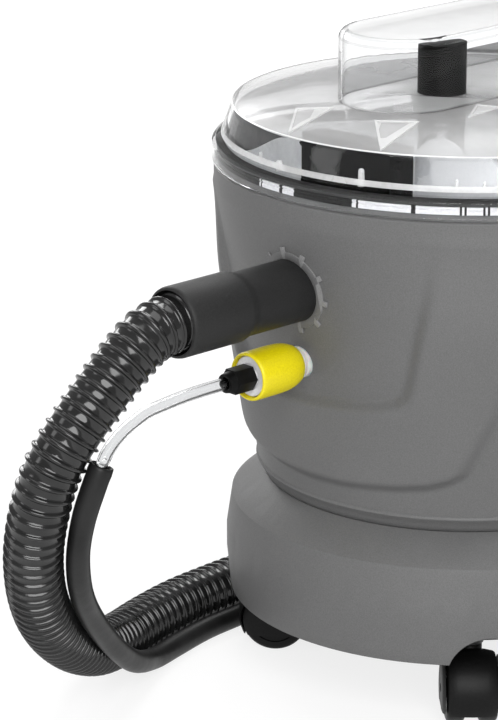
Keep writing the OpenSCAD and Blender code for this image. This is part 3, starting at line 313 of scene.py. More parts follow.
def mouldedPlastic(name, low, high, roughness, grain, grainBump, **sockets):
    # Moulded plastic: fine grain in colour and bump, slow patches in colour and gloss
    material, nodes, links, shader = freshMaterial(name, high, roughness[0], **sockets)
    place = objectPlace(nodes)
    patches = noiseAt(nodes, links, place, scale=9, detail=3)
    speckle = noiseAt(nodes, links, place, grain, rough=0.6)
    mix = nodes.new("ShaderNodeMix")
    mix.data_type = "FLOAT"
    mix.inputs[0].default_value = 0.7
    links.new(patches, mix.inputs[2])
    links.new(speckle, mix.inputs[3])
    links.new(ramp(nodes, links, mix.outputs[0], [(0.36, low), (0.64, high)]),
              shader.inputs["Base Color"])
    links.new(spread(nodes, links, patches, *roughness), shader.inputs["Roughness"])
    bump(nodes, links, shader, speckle, grainBump, distance=0.0004)
    return material


def clearPlastic(name, tint, edgeTint, roughness, ior, **sockets):
    # Clear plastic that looks greyer where the eye meets it at a slant, with faint flow waves
    material, nodes, links, shader = freshMaterial(name, tint, roughness, IOR=ior, **sockets)
    shader.inputs["Transmission Weight"].default_value = 1.0
    wave = noiseAt(nodes, links, objectPlace(nodes), scale=14)
    links.new(spread(nodes, links, wave, roughness, roughness + 0.03), shader.inputs["Roughness"])
    facing = nodes.new("ShaderNodeLayerWeight")
    facing.inputs["Blend"].default_value = 0.35
    links.new(ramp(nodes, links, facing.outputs["Facing"], [(0.45, tint), (0.95, edgeTint)]),
              shader.inputs["Base Color"])
    bump(nodes, links, shader, wave, strength=0.01, distance=0.002)
    return material


# Darkest and lightest colour, range of roughness, size and depth of the grain
shellGrey = mouldedPlastic("shellGrey", grey(0.095), grey(0.127), (0.5, 0.6), 1300, 0.3)
lugGrey = mouldedPlastic("lugGrey", grey(0.17), grey(0.22), (0.5, 0.6), 1300, 0.2)
blackPlastic = mouldedPlastic("blackPlastic", grey(0.012), grey(0.022), (0.4, 0.5), 900, 0.25)
castorBlack = mouldedPlastic("castorBlack", grey(0.003), grey(0.006), (0.42, 0.52), 700, 0.15,
                             Specular_IOR_Level=0.16)
cuffBlack = mouldedPlastic("cuffBlack", grey(0.011), grey(0.017), (0.48, 0.58), 900, 0.25,
                           Specular_IOR_Level=0.3)
boxBlack = mouldedPlastic("boxBlack", grey(0.003), grey(0.006), (0.4, 0.5), 400, 0.03,
                          Specular_IOR_Level=0.1)
cageBlack = mouldedPlastic("cageBlack", grey(0.001), grey(0.0025), (0.4, 0.5), 60, 0.01,
                           Specular_IOR_Level=0.05)
sealBlack = mouldedPlastic("sealBlack", grey(0.012), grey(0.02), (0.6, 0.7), 500, 0.3)
# Painted shade for the dark sheet inside the cover's sloping wall
padShadeGrey = mouldedPlastic("padShadeGrey", grey(0.018), grey(0.05), (0.5, 0.6), 160, 0.3)
tyreBlack = mouldedPlastic("tyreBlack", grey(0.022), grey(0.036), (0.68, 0.8), 420, 0.6)
whiteMould = mouldedPlastic("whiteMould", (0.6, 0.6, 0.62), (0.7, 0.7, 0.72), (0.3, 0.4), 500, 0.1)
yellowMould = mouldedPlastic("yellowMould", (0.7, 0.58, 0.0), (0.8, 0.68, 0.0), (0.42, 0.5), 900, 0.2)
steelGrey = mouldedPlastic("steelGrey", grey(0.5), grey(0.62), (0.28, 0.38), 260, 0.1, Metallic=1.0)
milkyTank = mouldedPlastic("milkyTank", (0.66, 0.67, 0.68), (0.74, 0.75, 0.76), (0.25, 0.35), 300, 0.1)
whitePanel = mouldedPlastic("whitePanel", (0.56, 0.57, 0.59), (0.64, 0.65, 0.67), (0.35, 0.45), 400, 0.1)
milkRing = mouldedPlastic("milkRing", (0.58, 0.57, 0.55), (0.66, 0.65, 0.63), (0.25, 0.35), 300, 0.1,
                          Subsurface_Weight=0.4, Subsurface_Scale=0.004)
frostClear = mouldedPlastic("frostClear", grey(0.78), grey(0.9), (0.2, 0.3), 300, 0.05,
                            Transmission_Weight=0.45, IOR=1.25)
crownMilk = mouldedPlastic("crownMilk", grey(0.5), grey(0.56), (0.18, 0.28), 40, 0.02, Alpha=0.55,
                          Specular_IOR_Level=0.18)
arrowMilk = mouldedPlastic("arrowMilk", grey(0.84), grey(0.9), (0.15, 0.25), 40, 0.02, Alpha=0.5)
domeMilk = mouldedPlastic("domeMilk", grey(0.84), grey(0.9), (0.12, 0.2), 40, 0.02, Alpha=0.6)
# Painted highlight along the clear cover's crown edge
edgeHighlight = mouldedPlastic("edgeHighlight", grey(0.68), grey(0.74), (0.2, 0.3), 300, 0.02)
smokeClear = clearPlastic("smokeClear", grey(0.68), grey(0.4), 0.06, 1.02)
clearLid = clearPlastic("clearLid", (0.95, 0.955, 0.96), grey(0.6), 0.01, 1.02, Coat_Weight=0.5,
                        Coat_IOR=1.4)
clearDome = clearPlastic("clearDome", (0.965, 0.968, 0.972), grey(0.22), 0.008, 1.02, Coat_Weight=0.28,
                         Coat_IOR=1.4)
clearHose = clearPlastic("clearHose", (0.86, 0.865, 0.87), grey(0.3), 0.05, 1.35)


def hoseMaterial(name, levels, gloss, tickBump, **sockets):
    # Glossy soft plastic; the bands between the ribs have short ticks along the hose
    material, nodes, links, shader = freshMaterial(name, levels[0], gloss[0], **sockets)
    place = nodes.new("ShaderNodeUVMap")
    place.uv_map = "wrap"
    ticks = noiseAt(nodes, links, place.outputs["UV"], scale=1, rough=0.6, stretch=(0.35, 26, 1))
    waves = noiseAt(nodes, links, place.outputs["UV"], scale=1, stretch=(0.6, 3, 1))
    dust = noiseAt(nodes, links, objectPlace(nodes), scale=60, detail=3)
    links.new(ramp(nodes, links, dust, [(0.35, levels[0]), (0.7, levels[1])]), shader.inputs["Base Color"])
    links.new(spread(nodes, links, waves, *gloss), shader.inputs["Roughness"])
    first = bump(nodes, links, shader, ticks, tickBump, distance=0.0006)
    bump(nodes, links, shader, waves, strength=0.12, distance=0.001, under=first)
    return material


def sleeveMaterial():
    material, nodes, links, shader = freshMaterial("sleeveBlack", grey(0.012), 0.5, Specular_IOR_Level=0.24)
    place = objectPlace(nodes)
    weave = noiseAt(nodes, links, place, scale=900)
    creases = noiseAt(nodes, links, place, scale=35, detail=3)
    links.new(ramp(nodes, links, creases, [(0.35, grey(0.008)), (0.65, grey(0.016))]),
              shader.inputs["Base Color"])
    links.new(spread(nodes, links, creases, 0.38, 0.5), shader.inputs["Roughness"])
    first = bump(nodes, links, shader, weave, strength=0.2, distance=0.0003)
    bump(nodes, links, shader, creases, strength=0.35, distance=0.002, under=first)
    return material


hoseRib = hoseMaterial("hoseRib", (grey(0.006), grey(0.014)), (0.1, 0.2), 0.1)
hoseBand = hoseMaterial("hoseBand", (grey(0.004), grey(0.009)), (0.22, 0.4), 0.5, Specular_IOR_Level=0.35)
sleeveBlack = sleeveMaterial()
print("materials made")

nodeFinish = {
    "base_plate": blackPlastic, "motor_casing": steelGrey, "turbine_shaft": steelGrey,
    "turbine_fan": steelGrey, "fan_housing": blackPlastic, "suction_duct": blackPlastic,
    "duct_seal": sealBlack,
    "spray_pump": steelGrey, "pump_plunger": steelGrey, "tank_filter": whiteMould,
    "float_ball": whiteMould, "inlet_seal": sealBlack, "end_coupling": blackPlastic,
    "handle_pins": steelGrey, "rear_axle": steelGrey, "castor_sockets": blackPlastic,
    "castor_axles_left": steelGrey, "castor_axles_right": steelGrey, "body_screws": steelGrey,
}
for node, finish in nodeFinish.items():
    cadNodes[node].data.materials.clear()
    cadNodes[node].data.materials.append(finish)


hoseLine = {
    "floor": 19.5, "outer": 19, "valley": 16.4, "bore": 14.5, "boreRings": 60,
    "pitch": 7.5, "sides": 32,
    # Distance from the rib's middle and radius, over one pitch; the smooth band starts past bandFrom
    "rib": [(-1.3, 16.6), (-1.1, 17.6), (-0.6, 18.3), (0, 18.5), (0.6, 18.3), (1.1, 17.6), (1.3, 16.6),
            (2.4, 16.4), (5.1, 16.4)],
    "bandFrom": 1.2,
    "route": [
        (0, -220, 283), (0, -233, 283), (0, -246, 283), (0, -258, 283), (0, -276, 279), (-1, -293, 267),
        (-3, -311, 250), (-7, -329, 229), (-13, -341, 207), (-20, -345, 182), (-30, -342, 155),
        (-40, -334, 131), (-51, -322, 109), (-63, -306, 88), (-78, -283, 66), (-95, -254, 45),
        (-112, -222, 29), (-128, -189, 21), (-140, -155, 19.5), (-148, -118, 19.5), (-151, -80, 19.5),
        (-153, -40, 19.5), (-159, 10, 19.5), (-168, 60, 19.5), (-178, 115, 19.5), (-187, 175, 19.5),
        (-193, 235, 19.5), (-197, 300, 19.5), (-200, 370, 19.5), (-200, 440, 19.5), (-200, 500, 19.5),
        (-200, 522, 19.5), (-200, 541, 19.5), (-200, 560, 19.5)],
    # One loop on the floor, whose end rises and lies across the hose that comes in
    "loopStart": (-200, 560), "loopLead": 38, "loopRadius": 190, "loopTurn": 270, "loopSteps": 24,
    "riseFrom": 225, "riseLength": 245, "crossHeight": 58.3, "endStraight": 160,
}

sleeveLine = {
    "radius": 7.5, "gap": 0.3, "rest": 8.0, "sides": 24, "step": 2.2,
    "mouth": (6.3, -318.6, 209.8),
    # Which way the sleeve lies off the hose, from the hose's ninth point on
    "ways": [
        (0.67, 0.72, -0.2), (0.68, 0.73, -0.05), (0.69, 0.72, 0.05), (0.7, 0.68, 0.12), (0.74, 0.6, 0.25),
        (0.78, 0.5, 0.35), (0.84, 0.4, 0.3), (0.9, 0.35, 0.1), (0.92, 0.28, -0.15), (0.9, 0.2, -0.34),
        (0.88, 0.1, -0.42), (0.88, 0.05, -0.43), (0.89, 0, -0.44)],
    "first": 8,
    "endSide": 32, "tip": 185,
}

sprayLine = {
    "radius": 4.0, "bore": 2.7, "sides": 28, "step": 2.0,
    "route": [
        (0, -199, 235), (0, -216, 235), (0, -232, 235), (0, -247, 234.5), (0.5, -262, 233.5),
        (1, -277, 232), (2, -288, 229), (3, -298, 225.5), (4, -308.5, 219.5)],
}


def fineLine(points, steps):
    # A smooth line through the points, with a few steps between each pair
    points = [Vector(p) for p in points]
    before, after = 2 * points[0] - points[1], 2 * points[-1] - points[-2]
    padded = [before, *points, after]
    line = []
    for i in range(1, len(padded) - 2):
        p0, p1, p2, p3 = padded[i - 1:i + 3]
        for step in range(steps):
            t = step / steps
            line.append(0.5 * (2 * p1 + (p2 - p0) * t + (2 * p0 - 5 * p1 + 4 * p2 - p3) * t * t
                               + (3 * p1 - p0 - 3 * p2 + p3) * t ** 3))
    return line + [points[-1]]


def runLengths(line):
    runs = [0.0]
    for a, b in zip(line, line[1:]):
        runs.append(runs[-1] + (b - a).length)
    return runs


def pointsAt(line, distances):
    runs = runLengths(line)
    found, i = [], 0
    for distance in distances:
        while i < len(runs) - 2 and runs[i + 1] < distance:
            i += 1
        share = min(1.0, max(0.0, (distance - runs[i]) / (runs[i + 1] - runs[i])))
        found.append(line[i].lerp(line[i + 1], share))
    return found


def waysAlong(points):
    last = len(points) - 1
    return [(points[min(last, i + 1)] - points[max(0, i - 1)]).normalized() for i in range(last + 1)]


def sideways(way, guess):
    return (guess - guess.dot(way) * way).normalized()


# A mesh tube round a line: a ring is its distance, its radius and, where it isn't the first, the
# number of its material; a closed tube's last ring joins the first, which gives it a bore
def tubeMesh(name, line, rings, sides, closed=False, squeeze=None, uvPitch=None):
    order = sorted(range(len(rings)), key=lambda k: rings[k][0])
    sortedPoints = pointsAt(line, [rings[k][0] for k in order])
    total = runLengths(line)[-1]
    fineWays = waysAlong(pointsAt(line, [total * i / 3000 for i in range(3001)]))
    side = sideways(fineWays[0], Vector((0, 0, 1)) if abs(fineWays[0].z) < 0.9 else Vector((1, 0, 0)))
    fineSides = []
    for way in fineWays:
        side = sideways(way, side)
        fineSides.append(side)
    mesh = bmesh.new()
    loops = [None] * len(rings)
    for k, point in zip(order, sortedPoints):
        distance, radius = rings[k][0], rings[k][1]
        step = min(3000, max(0, round(3000 * distance / total)))
        way, out = fineWays[step], fineSides[step]
        out = sideways(way, out)
        up = way.cross(out)
        loop = []
        for s in range(sides):
            turn = 2 * pi * s / sides
            wide = squeeze(distance, turn) if squeeze else 1.0
            loop.append(mesh.verts.new((point + radius * wide * (cos(turn) * out + sin(turn) * up)) / 1000
                                       - Vector((0, middleY, 0))))
        loops[k] = loop
    uv = mesh.loops.layers.uv.new("wrap")
    pairs = list(zip(range(len(loops)), range(1, len(loops))))
    if closed:
        pairs.append((len(loops) - 1, 0))
    for a, b in pairs:
        for s in range(sides):
            n = (s + 1) % sides
            face = mesh.faces.new((loops[a][s], loops[a][n], loops[b][n], loops[b][s]))
            face.smooth = True
            if len(rings[a]) > 2:
                face.material_index = rings[a][2]
            corners = [(rings[a][0], s), (rings[a][0], s + 1), (rings[b][0], s + 1), (rings[b][0], s)]
            for corner, (along, around) in zip(face.loops, corners):
                corner[uv].uv = (along / (uvPitch or 10), around / sides)
    if not closed:
        mesh.faces.new(list(reversed(loops[0])))
        mesh.faces.new(loops[-1])
    bmesh.ops.recalc_face_normals(mesh, faces=mesh.faces)
    data = bpy.data.meshes.new(name)
    mesh.to_mesh(data)
    mesh.free()
    piece = bpy.data.objects.new(name, data)
    bpy.context.scene.collection.objects.link(piece)
    return piece


startX, startY = hoseLine["loopStart"]
loopX, loopY = startX + hoseLine["loopRadius"], startY + hoseLine["loopLead"]
endWay = Vector((-1, 0, 0))


def hoseHeight(distance):
    low, high = hoseLine["floor"], hoseLine["crossHeight"]
    return low + (high - low) * smoothStep(distance / hoseLine["riseLength"])


def loopPoint(angle):
    radius = hoseLine["loopRadius"]
    return Vector((loopX - radius * cos(radians(angle)), loopY + radius * sin(radians(angle)),
                   hoseHeight(radians(angle - hoseLine["riseFrom"]) * radius)))


def endPoint(distance):
    radius = hoseLine["loopRadius"]
    return Vector((loopX - distance, loopY - radius,
                   hoseHeight(radians(hoseLine["loopTurn"] - hoseLine["riseFrom"]) * radius + distance)))


# The hose's free stretch and its loop are one line
loopRoute = ([Vector((startX, startY + along, hoseLine["floor"])) for along in (0, hoseLine["loopLead"] / 2)]
             + [loopPoint(i * hoseLine["loopTurn"] / hoseLine["loopSteps"])
                for i in range(hoseLine["loopSteps"] + 1)]
             + [endPoint(hoseLine["endStraight"] * i / 8) for i in range(1, 9)])
hosePath = fineLine(hoseLine["route"], 6) + fineLine(loopRoute, 3)[1:]
hoseLength = runLengths(hosePath)[-1]

hoseRings = []
ribCount = int(hoseLength / hoseLine["pitch"])
hosePitch = hoseLength / ribCount
for rib in range(ribCount):
    for offset, radius in hoseLine["rib"]:
        spot = (rib + 0.5) * hosePitch + offset * hosePitch / hoseLine["pitch"]
        if 0 < spot < hoseLength:
            hoseRings.append((spot, radius, 1 if offset > hoseLine["bandFrom"] else 0))
hoseRings = [(0.0, hoseLine["valley"])] + hoseRings + [(hoseLength, hoseLine["valley"])]
boreRings = [(hoseLength * (1 - i / hoseLine["boreRings"]), hoseLine["bore"])
             for i in range(hoseLine["boreRings"] + 1)]
hosePiece = tubeMesh("suctionHose", hosePath, hoseRings + boreRings, hoseLine["sides"], True,
                     uvPitch=hosePitch)
mount(hosePiece, "machine", "black_hose", hoseRib, "suction_hose", "hose_coil")
hosePiece.data.materials.append(hoseBand)
print("hose wound, mm:", round(hoseLength), "ribs:", ribCount)

# The sleeve lies along the hose's inner side
sleeveOut = hoseLine["outer"] + sleeveLine["radius"] + sleeveLine["gap"]
sleeveDrop = hoseLine["floor"] - sleeveLine["rest"]
sleeveSide = sqrt(sleeveOut ** 2 - sleeveDrop ** 2)
hosePoints = [Vector(p) for p in hoseLine["route"]]
hoseWays = waysAlong(hosePoints)
loopWays = waysAlong(loopRoute)


def besideHose(point, way, side=sleeveSide):
    level = hypot(way.x, way.y)
    return Vector((point.x + side * way.y / level, point.y - side * way.x / level, point.z - sleeveDrop))


def besideEnd(distance):
    return besideHose(endPoint(distance), endWay,
                      sleeveSide + (sleeveLine["endSide"] - sleeveSide) * smoothStep((distance - 30) / 100))


sleeveRoute = [Vector(sleeveLine["mouth"])]
for i, way in enumerate(sleeveLine["ways"]):
    j = i + sleeveLine["first"]
    sleeveRoute.append(hosePoints[j] + sleeveOut * sideways(hoseWays[j], Vector(way).normalized()))
for j in range(sleeveLine["first"] + len(sleeveLine["ways"]), len(hosePoints) - 1):
    sleeveRoute.append(besideHose(hosePoints[j], hoseWays[j]))
for j in range(0, hoseLine["loopSteps"] + 3, 2):
    sleeveRoute.append(besideHose(loopRoute[j], loopWays[j]))
sleeveRoute += [besideEnd(distance) for distance in (25, 55, 85, 115, 145, 170, sleeveLine["tip"])]
sleevePath = fineLine(sleeveRoute, 4)
sleeveLength = runLengths(sleevePath)[-1]


def sleeveShape(distance, turn):
    # Soft hem at the mouth, then slow uneven swells
    hem = 0.04 * smoothStep(1 - abs(distance - 4) / 4)
    swell = 0.02 * sin(distance / 17.0 + 1.3 * sin(distance / 41.0))
    return 0.99 + hem + swell + 0.012 * cos(2 * turn + distance / 60)


sleeveCount = int(sleeveLength / sleeveLine["step"])
sleeveRings = [(sleeveLength * i / sleeveCount, sleeveLine["radius"]) for i in range(sleeveCount + 1)]
sleeveInside = [(0.0, 6.4), (22.0, 6.0), (24.0, 1.0)]
sleevePiece = tubeMesh("hoseSleeve", sleevePath, list(reversed(sleeveInside)) + sleeveRings,
                       sleeveLine["sides"], squeeze=sleeveShape)
mount(sleevePiece, "machine", "black_rubber", sleeveBlack, "hose_sleeve")

# The spray tube runs from the nut into the sleeve's mouth
sleeveWay = (sleevePath[1] - sleevePath[0]).normalized()
sleeveMouth = Vector(sleeveLine["mouth"])
sprayPath = fineLine(list(sprayLine["route"]) + [sleeveMouth - 5 * sleeveWay, sleeveMouth], 6)
sprayLength = runLengths(sprayPath)[-1]
sprayCount = int(sprayLength / sprayLine["step"])
sprayRings = [(sprayLength * i / sprayCount, sprayLine["radius"]) for i in range(sprayCount + 1)]
sprayBore = [(sprayLength * (1 - i / sprayCount), sprayLine["bore"]) for i in range(sprayCount + 1)]
sprayPiece = tubeMesh("sprayTube", sprayPath, sprayRings + sprayBore, sprayLine["sides"], True)
mount(sprayPiece, "machine", "clear_tube", clearHose, "spray_tube")

pumpTube = {"radius": 3.8, "step": 3, "sides": 16}
pumpLines = {
    "pumpInletHose": ("pump_inlet_hose", [
        (70, 40, 122), (70, 40, 117), (70, 41, 111), (69, 49, 101), (66, 64, 96), (60, 87, 96), (46, 108, 96),
        (26, 117, 96), (8, 113, 96), (0, 101, 96), (0, 94, 96), (0, 87.2, 96)]),
    "pumpOutletHose": ("pump_outlet_hose", [
        (0, -37.2, 96), (0, -48, 96), (0, -62, 96), (0, -86, 99), (0, -106, 108), (0, -118, 124),
        (0, -118, 141), (0, -120, 162), (0, -126, 187), (0, -131, 204), (0, -131, 212), (0, -131, 220.8)]),
}
for name, (node, route) in pumpLines.items():
    pumpPath = fineLine(route, 6)
    pumpLength = runLengths(pumpPath)[-1]
    count = int(pumpLength / pumpTube["step"])
    pumpRings = [(pumpLength * i / count, pumpTube["radius"]) for i in range(count + 1)]
    pumpPiece = tubeMesh(name, pumpPath, pumpRings, pumpTube["sides"])
    mount(pumpPiece, "machine", "black_rubber", sealBlack, node)
print("sleeve, mm:", round(sleeveLength), "spray tube, mm:", round(sprayLength))


tubLook = {
    "foot": 142.4, "shoulder": 326, "footRadius": 133.4, "topRadius": 162, "sides": 480, "rows": 104,
    # The frame raised on the front: its height, the width of its slopes, where it fades out upwards
    "frameRaise": 6.0, "frameSlope": 8.5, "frameFade": (262, 330), "frameReach": (143, 329),
    # Round holes in the front: height, radius; and in the floor: x, y, radius
    "inletHeight": 283, "frontHoles": [(283, 22.65), (235, 7)], "floorHoles": [(70, 40, 6), (0, -118, 5)],
    "bossTurns": (40, 140, 220, 320), "bossAway": 100,
    "bossRings": [(133, 7), (145.4, 7), (146, 6.4), (146, 2.6), (140, 2.6)],
    # The foot's rings and the rim's, then the inner wall's: height, radius
    "footRings": [(131, 2), (131, 60), (131, 127.6), (131.6, 129), (135, 131), (139, 132.6), (140.2, 134.2),
                  (140.9, 134.4), (141.6, 134.2)],
    "rimRings": [(330, 162), (335, 162), (339.2, 162), (340, 161.2), (340, 159), (340.4, 158.5),
                 (351.4, 158.5), (352, 157.9), (352, 155.1), (351.4, 154.5), (343, 154.5), (343, 150),
                 (342.5, 149.5), (337.5, 149.5), (337, 150)],
    "innerRings": [(337, 158.5), (326, 158.5), (140, 129.5), (134.5, 125.5), (134.5, 60), (134.5, 2)],
    # The raised frame's outlines seen from the front: x, z
    "outline": [(128, 336), (121, 240), (113, 214), (98, 179), (95, 173), (89, 168), (79, 164), (62, 161),
                (29, 158), (0, 157.5)],
    "window": [(101, 336), (81, 257), (75, 232), (72, 224), (66, 219), (56, 216), (43, 214), (0, 211)],
}


def tubRadius(z):
    slope = (tubLook["topRadius"] - tubLook["footRadius"]) / (tubLook["shoulder"] - tubLook["foot"])
    return tubLook["footRadius"] + (z - tubLook["foot"]) * slope


def insideOutline(x, z, points):
    # How far a place lies inside a mirrored outline: positive inside, negative outside
    x = abs(x)
    nearest, crossings = 1e9, 0
    for (ax, az), (bx, bz) in zip(points, points[1:]):
        dx, dz = bx - ax, bz - az
        share = min(1.0, max(0.0, ((x - ax) * dx + (z - az) * dz) / (dx * dx + dz * dz)))
        nearest = min(nearest, hypot(x - ax - share * dx, z - az - share * dz))
        if (az > z) != (bz > z) and x < ax + (z - az) * dx / dz:
            crossings += 1
    return nearest if crossings % 2 else -nearest


def frameHeight(x, z):
    slope = tubLook["frameSlope"]
    inside = smoothStep(insideOutline(x, z, tubLook["outline"]) / slope + 0.5)
    outside = 1 - smoothStep(insideOutline(x, z, tubLook["window"]) / slope + 0.5)
    low, high = tubLook["frameFade"]
    fade = 1 - 0.9 * smoothStep((z - low) / (high - low))
    return tubLook["frameRaise"] * inside * outside * fade


def holeCutter(place, radius, depth, sides, turn=(0, 0, 0)):
    clearSelection()
    bpy.ops.mesh.primitive_cylinder_add(vertices=sides, radius=radius / 1000, depth=depth,
                                        location=at(*place), rotation=turn)
    return bpy.context.object


def tubPiece():
    low, high, rows = tubLook["foot"], tubLook["shoulder"], tubLook["rows"]
    heights = [low + (high - low) * i / rows for i in range(rows + 1)]
    rings = tubLook["footRings"] + [(height, tubRadius(height)) for height in heights]
    rings += tubLook["rimRings"] + tubLook["innerRings"]
    piece = turned("tubHousing", at(0, 0, 0), (0, 0, 1), rings, tubLook["sides"])
    lowest, highest = tubLook["frameReach"]
    for vertex in piece.data.vertices:
        x, y, z = vertex.co.x * 1000, (vertex.co.y + middleY) * 1000, vertex.co.z * 1000
        radius = hypot(x, y)
        if y < 0 and lowest < z < highest and radius > tubRadius(z) - 1:
            lift = frameHeight(x, z)
            if lift > 0.001:
                vertex.co.x += lift / 1000 * x / radius
                vertex.co.y += lift / 1000 * y / radius
    cutters = [holeCutter((0, -150, height), radius, 0.08, 72, (pi / 2, 0, 0))
               for height, radius in tubLook["frontHoles"]]
    cutters += [holeCutter((x, y, 132), radius, 0.02, 32) for x, y, radius in tubLook["floorHoles"]]
    cutAway(piece, *cutters)
    bosses = []
    for turn in tubLook["bossTurns"]:
        centre = at(tubLook["bossAway"] * cos(radians(turn)), tubLook["bossAway"] * sin(radians(turn)), 0)
        bosses.append(turned("boss", centre, (0, 0, 1), tubLook["bossRings"], 32))
    joined(piece, *bosses)
    return smoothed(piece, 40)


mount(tubPiece(), "machine", "grey_shell", shellGrey, "tub_housing")
print("tub made")

# CAD nodes that keep their shape and get soft edges: node, piece, edge width, finish, body, slot
softPieces = [
    ("base_shell", "baseShell", 2.4, shellGrey, "machine", "grey_shell"),
    ("rear_housing", "rearHousing", 1.2, shellGrey, "machine", "grey_shell"),
    ("rear_cover", "rearCover", 1.2, shellGrey, "machine", "grey_shell"),
    ("suction_switch", "suctionSwitch", 1.2, blackPlastic, "suction_switch", "black_plastic"),
    ("spray_switch", "spraySwitch", 1.2, blackPlastic, "spray_switch", "black_plastic"),
    ("exhaust_grille", "exhaustGrille", 0.6, blackPlastic, "machine", "black_plastic"),
    ("recovery_tank", "recoveryTank", 0.7, milkyTank, "tank", "milky_plastic"),
    ("inlet_duct", "inletDuct", 0.8, boxBlack, "tank", "black_plastic"),
    ("splash_guard", "splashGuard", 0.5, whitePanel, "tank", "white_sheet"),
    ("float_cage", "floatCage", 0.7, cageBlack, "lid", "black_plastic"),
    ("inlet_socket", "inletSocket", 0.4, shellGrey, "machine", "grey_shell"),
    ("coupling_socket", "couplingSocket", 0.7, milkRing, "machine", "white_plastic"),
    ("tube_nut", "tubeNut", 0.7, boxBlack, "machine", "black_plastic"),
    ("carry_handle", "carryHandle", 2.2, blackPlastic, "handle", "black_plastic"),
    ("rear_wheel_left", "rearWheelLeft", 0.9, blackPlastic, "rear_wheel_left", "black_plastic"),
    ("rear_wheel_right", "rearWheelRight", 0.9, blackPlastic, "rear_wheel_right", "black_plastic"),
    ("cord_gland", "cordGland", 0.8, sealBlack, "machine", "black_rubber"),
]
softMade = {}
for node, name, width, finish, body, slotName in softPieces:
    piece = softened(node, name, width)
    softMade[node] = mount(piece, body, slotName, finish, node)
    print("softened", name, len(piece.data.polygons))


def onLug(face):
    # The lugs stand outside the inlet socket's rim, in front of the tub
    away = hypot(face.center.x, face.center.z - tubLook["inletHeight"] / 1000)
    return away > 0.0234 and face.center.y < -0.2


secondFinish(softMade["inlet_socket"], lugGrey, onLug)

cuffLook = {"height": 283, "thin": 20.25, "thick": 22.25, "start": 148.4, "step": 206, "end": 257,
            "hoseStart": 220, "bore": 14.5, "sides": 128}


def cuffPiece():
    thin, thick, start, step, end = [cuffLook[key] for key in ("thin", "thick", "start", "step", "end")]
    hose, bore = cuffLook["hoseStart"], cuffLook["bore"]
    rings = [(start, 17.6), (start, thin - 0.6), (start + 0.6, thin), (170, thin), (step - 4.6, thin),
             (step - 3.4, thin + 0.15), (step + 1.2, thick - 0.5), (step + 2.8, thick - 0.05),
             (step + 4, thick), (end - 3, thick), (end - 1.2, thick - 0.35), (end - 0.3, thick - 1.1),
             (end, thick - 2), (end, 20.2), (hose, 19.3), (hose, bore), (hose - 12, bore)]
    piece = turned("hoseCuff", at(0, 0, cuffLook["height"]), (0, -1, 0), rings, cuffLook["sides"], True)
    return smoothed(piece, 50)


mount(cuffPiece(), "machine", "black_plastic", cuffBlack, "hose_cuff")

endCuffLook = {"thick": 22.25, "thin": 19.45, "bore": 16}


def endCuffPiece():
    thick, thin = endCuffLook["thick"], endCuffLook["thin"]
    bore, hoseBore = endCuffLook["bore"], hoseLine["bore"]
    rings = [(-16, 19.35), (-16, thick - 1.4), (-15.3, thick - 0.4), (-14, thick), (13, thick),
             (14.8, thick - 0.3), (18.6, thin + 0.3), (20, thin), (54.6, thin), (55.6, thin - 0.4),
             (56, thin - 1.1), (56, bore + 0.8), (55.2, bore), (3, bore), (3, hoseBore), (0, hoseBore),
             (0, 19.35)]
    piece = turned("endCuff", at(*endPoint(hoseLine["endStraight"])), endWay, rings, 96, True)
    return smoothed(piece, 50)


endCuff = mount(endCuffPiece(), "machine", "black_plastic", cuffBlack, "end_cuff")

# The collar and the plug start from the tub's face: distance, radius
collarLook = {
    "face": 148, "height": 235,
    "rings": [(7.6, 11.35), (7.6, 11.9), (8.2, 12.5), (10, 13.3), (13, 14.3), (16, 14.95), (20, 15.35),
              (25, 15.5), (43.4, 15.5), (44.9, 15.3), (45.7, 14.8), (46, 14.2), (46, 13.7), (45.4, 13.4),
              (36, 13.4), (35, 11.35)],
    "plugRings": [(4.5, 5.05), (4.5, 9.6), (17, 9.8), (18, 11.3), (41.6, 11.3), (41.6, 12.9), (43.4, 12.9),
                  (44, 12.4), (44, 8.4), (43.2, 7.9), (43.2, 6.6), (44, 6.1), (44, 4.5), (18, 4.5),
                  (18, 5.05)],
}


def couplingPart(name, rings, sides):
    face = at(0, -collarLook["face"], collarLook["height"])
    return smoothed(turned(name, face, (0, -1, 0), rings, sides, True), 50)


mount(couplingPart("couplingCollar", collarLook["rings"], 96), "collar", "yellow_plastic", yellowMould,
      "coupling_collar")
mount(couplingPart("couplingPlug", collarLook["plugRings"], 72), "machine", "white_plastic", whiteMould,
      "coupling_plug")

gripLook = {"height": 326, "back": 215.8, "half": 62, "radius": 13, "bore": 8, "grooves": 14}


def gripPiece():
    half, radius = gripLook["half"], gripLook["radius"]
    rings = [(-half, gripLook["bore"]), (-half, radius - 2), (-half + 0.8, radius - 0.7),
             (-half + 2.4, radius)]
    step = (2 * half - 20) / gripLook["grooves"]
    for i in range(gripLook["grooves"]):
        middle = -half + 10 + step * (i + 0.5)
        rings += [(middle - 1.8, radius), (middle - 1, radius - 1), (middle + 1, radius - 1),
                  (middle + 1.8, radius)]
    rings += [(half - 2.4, radius), (half - 0.8, radius - 0.7), (half, radius - 2), (half, gripLook["bore"])]
    piece = turned("handleGrip", at(0, gripLook["back"], gripLook["height"]), (1, 0, 0), rings, 48, True)
    return smoothed(piece, 50)


mount(gripPiece(), "handle", "black_rubber", sealBlack, "handle_grip")

tyreLook = {"radius": 80, "hub": 73, "inside": 117, "width": 28, "height": 80, "back": 235, "sides": 144,
            "treads": 36, "treadDepth": 1.2}


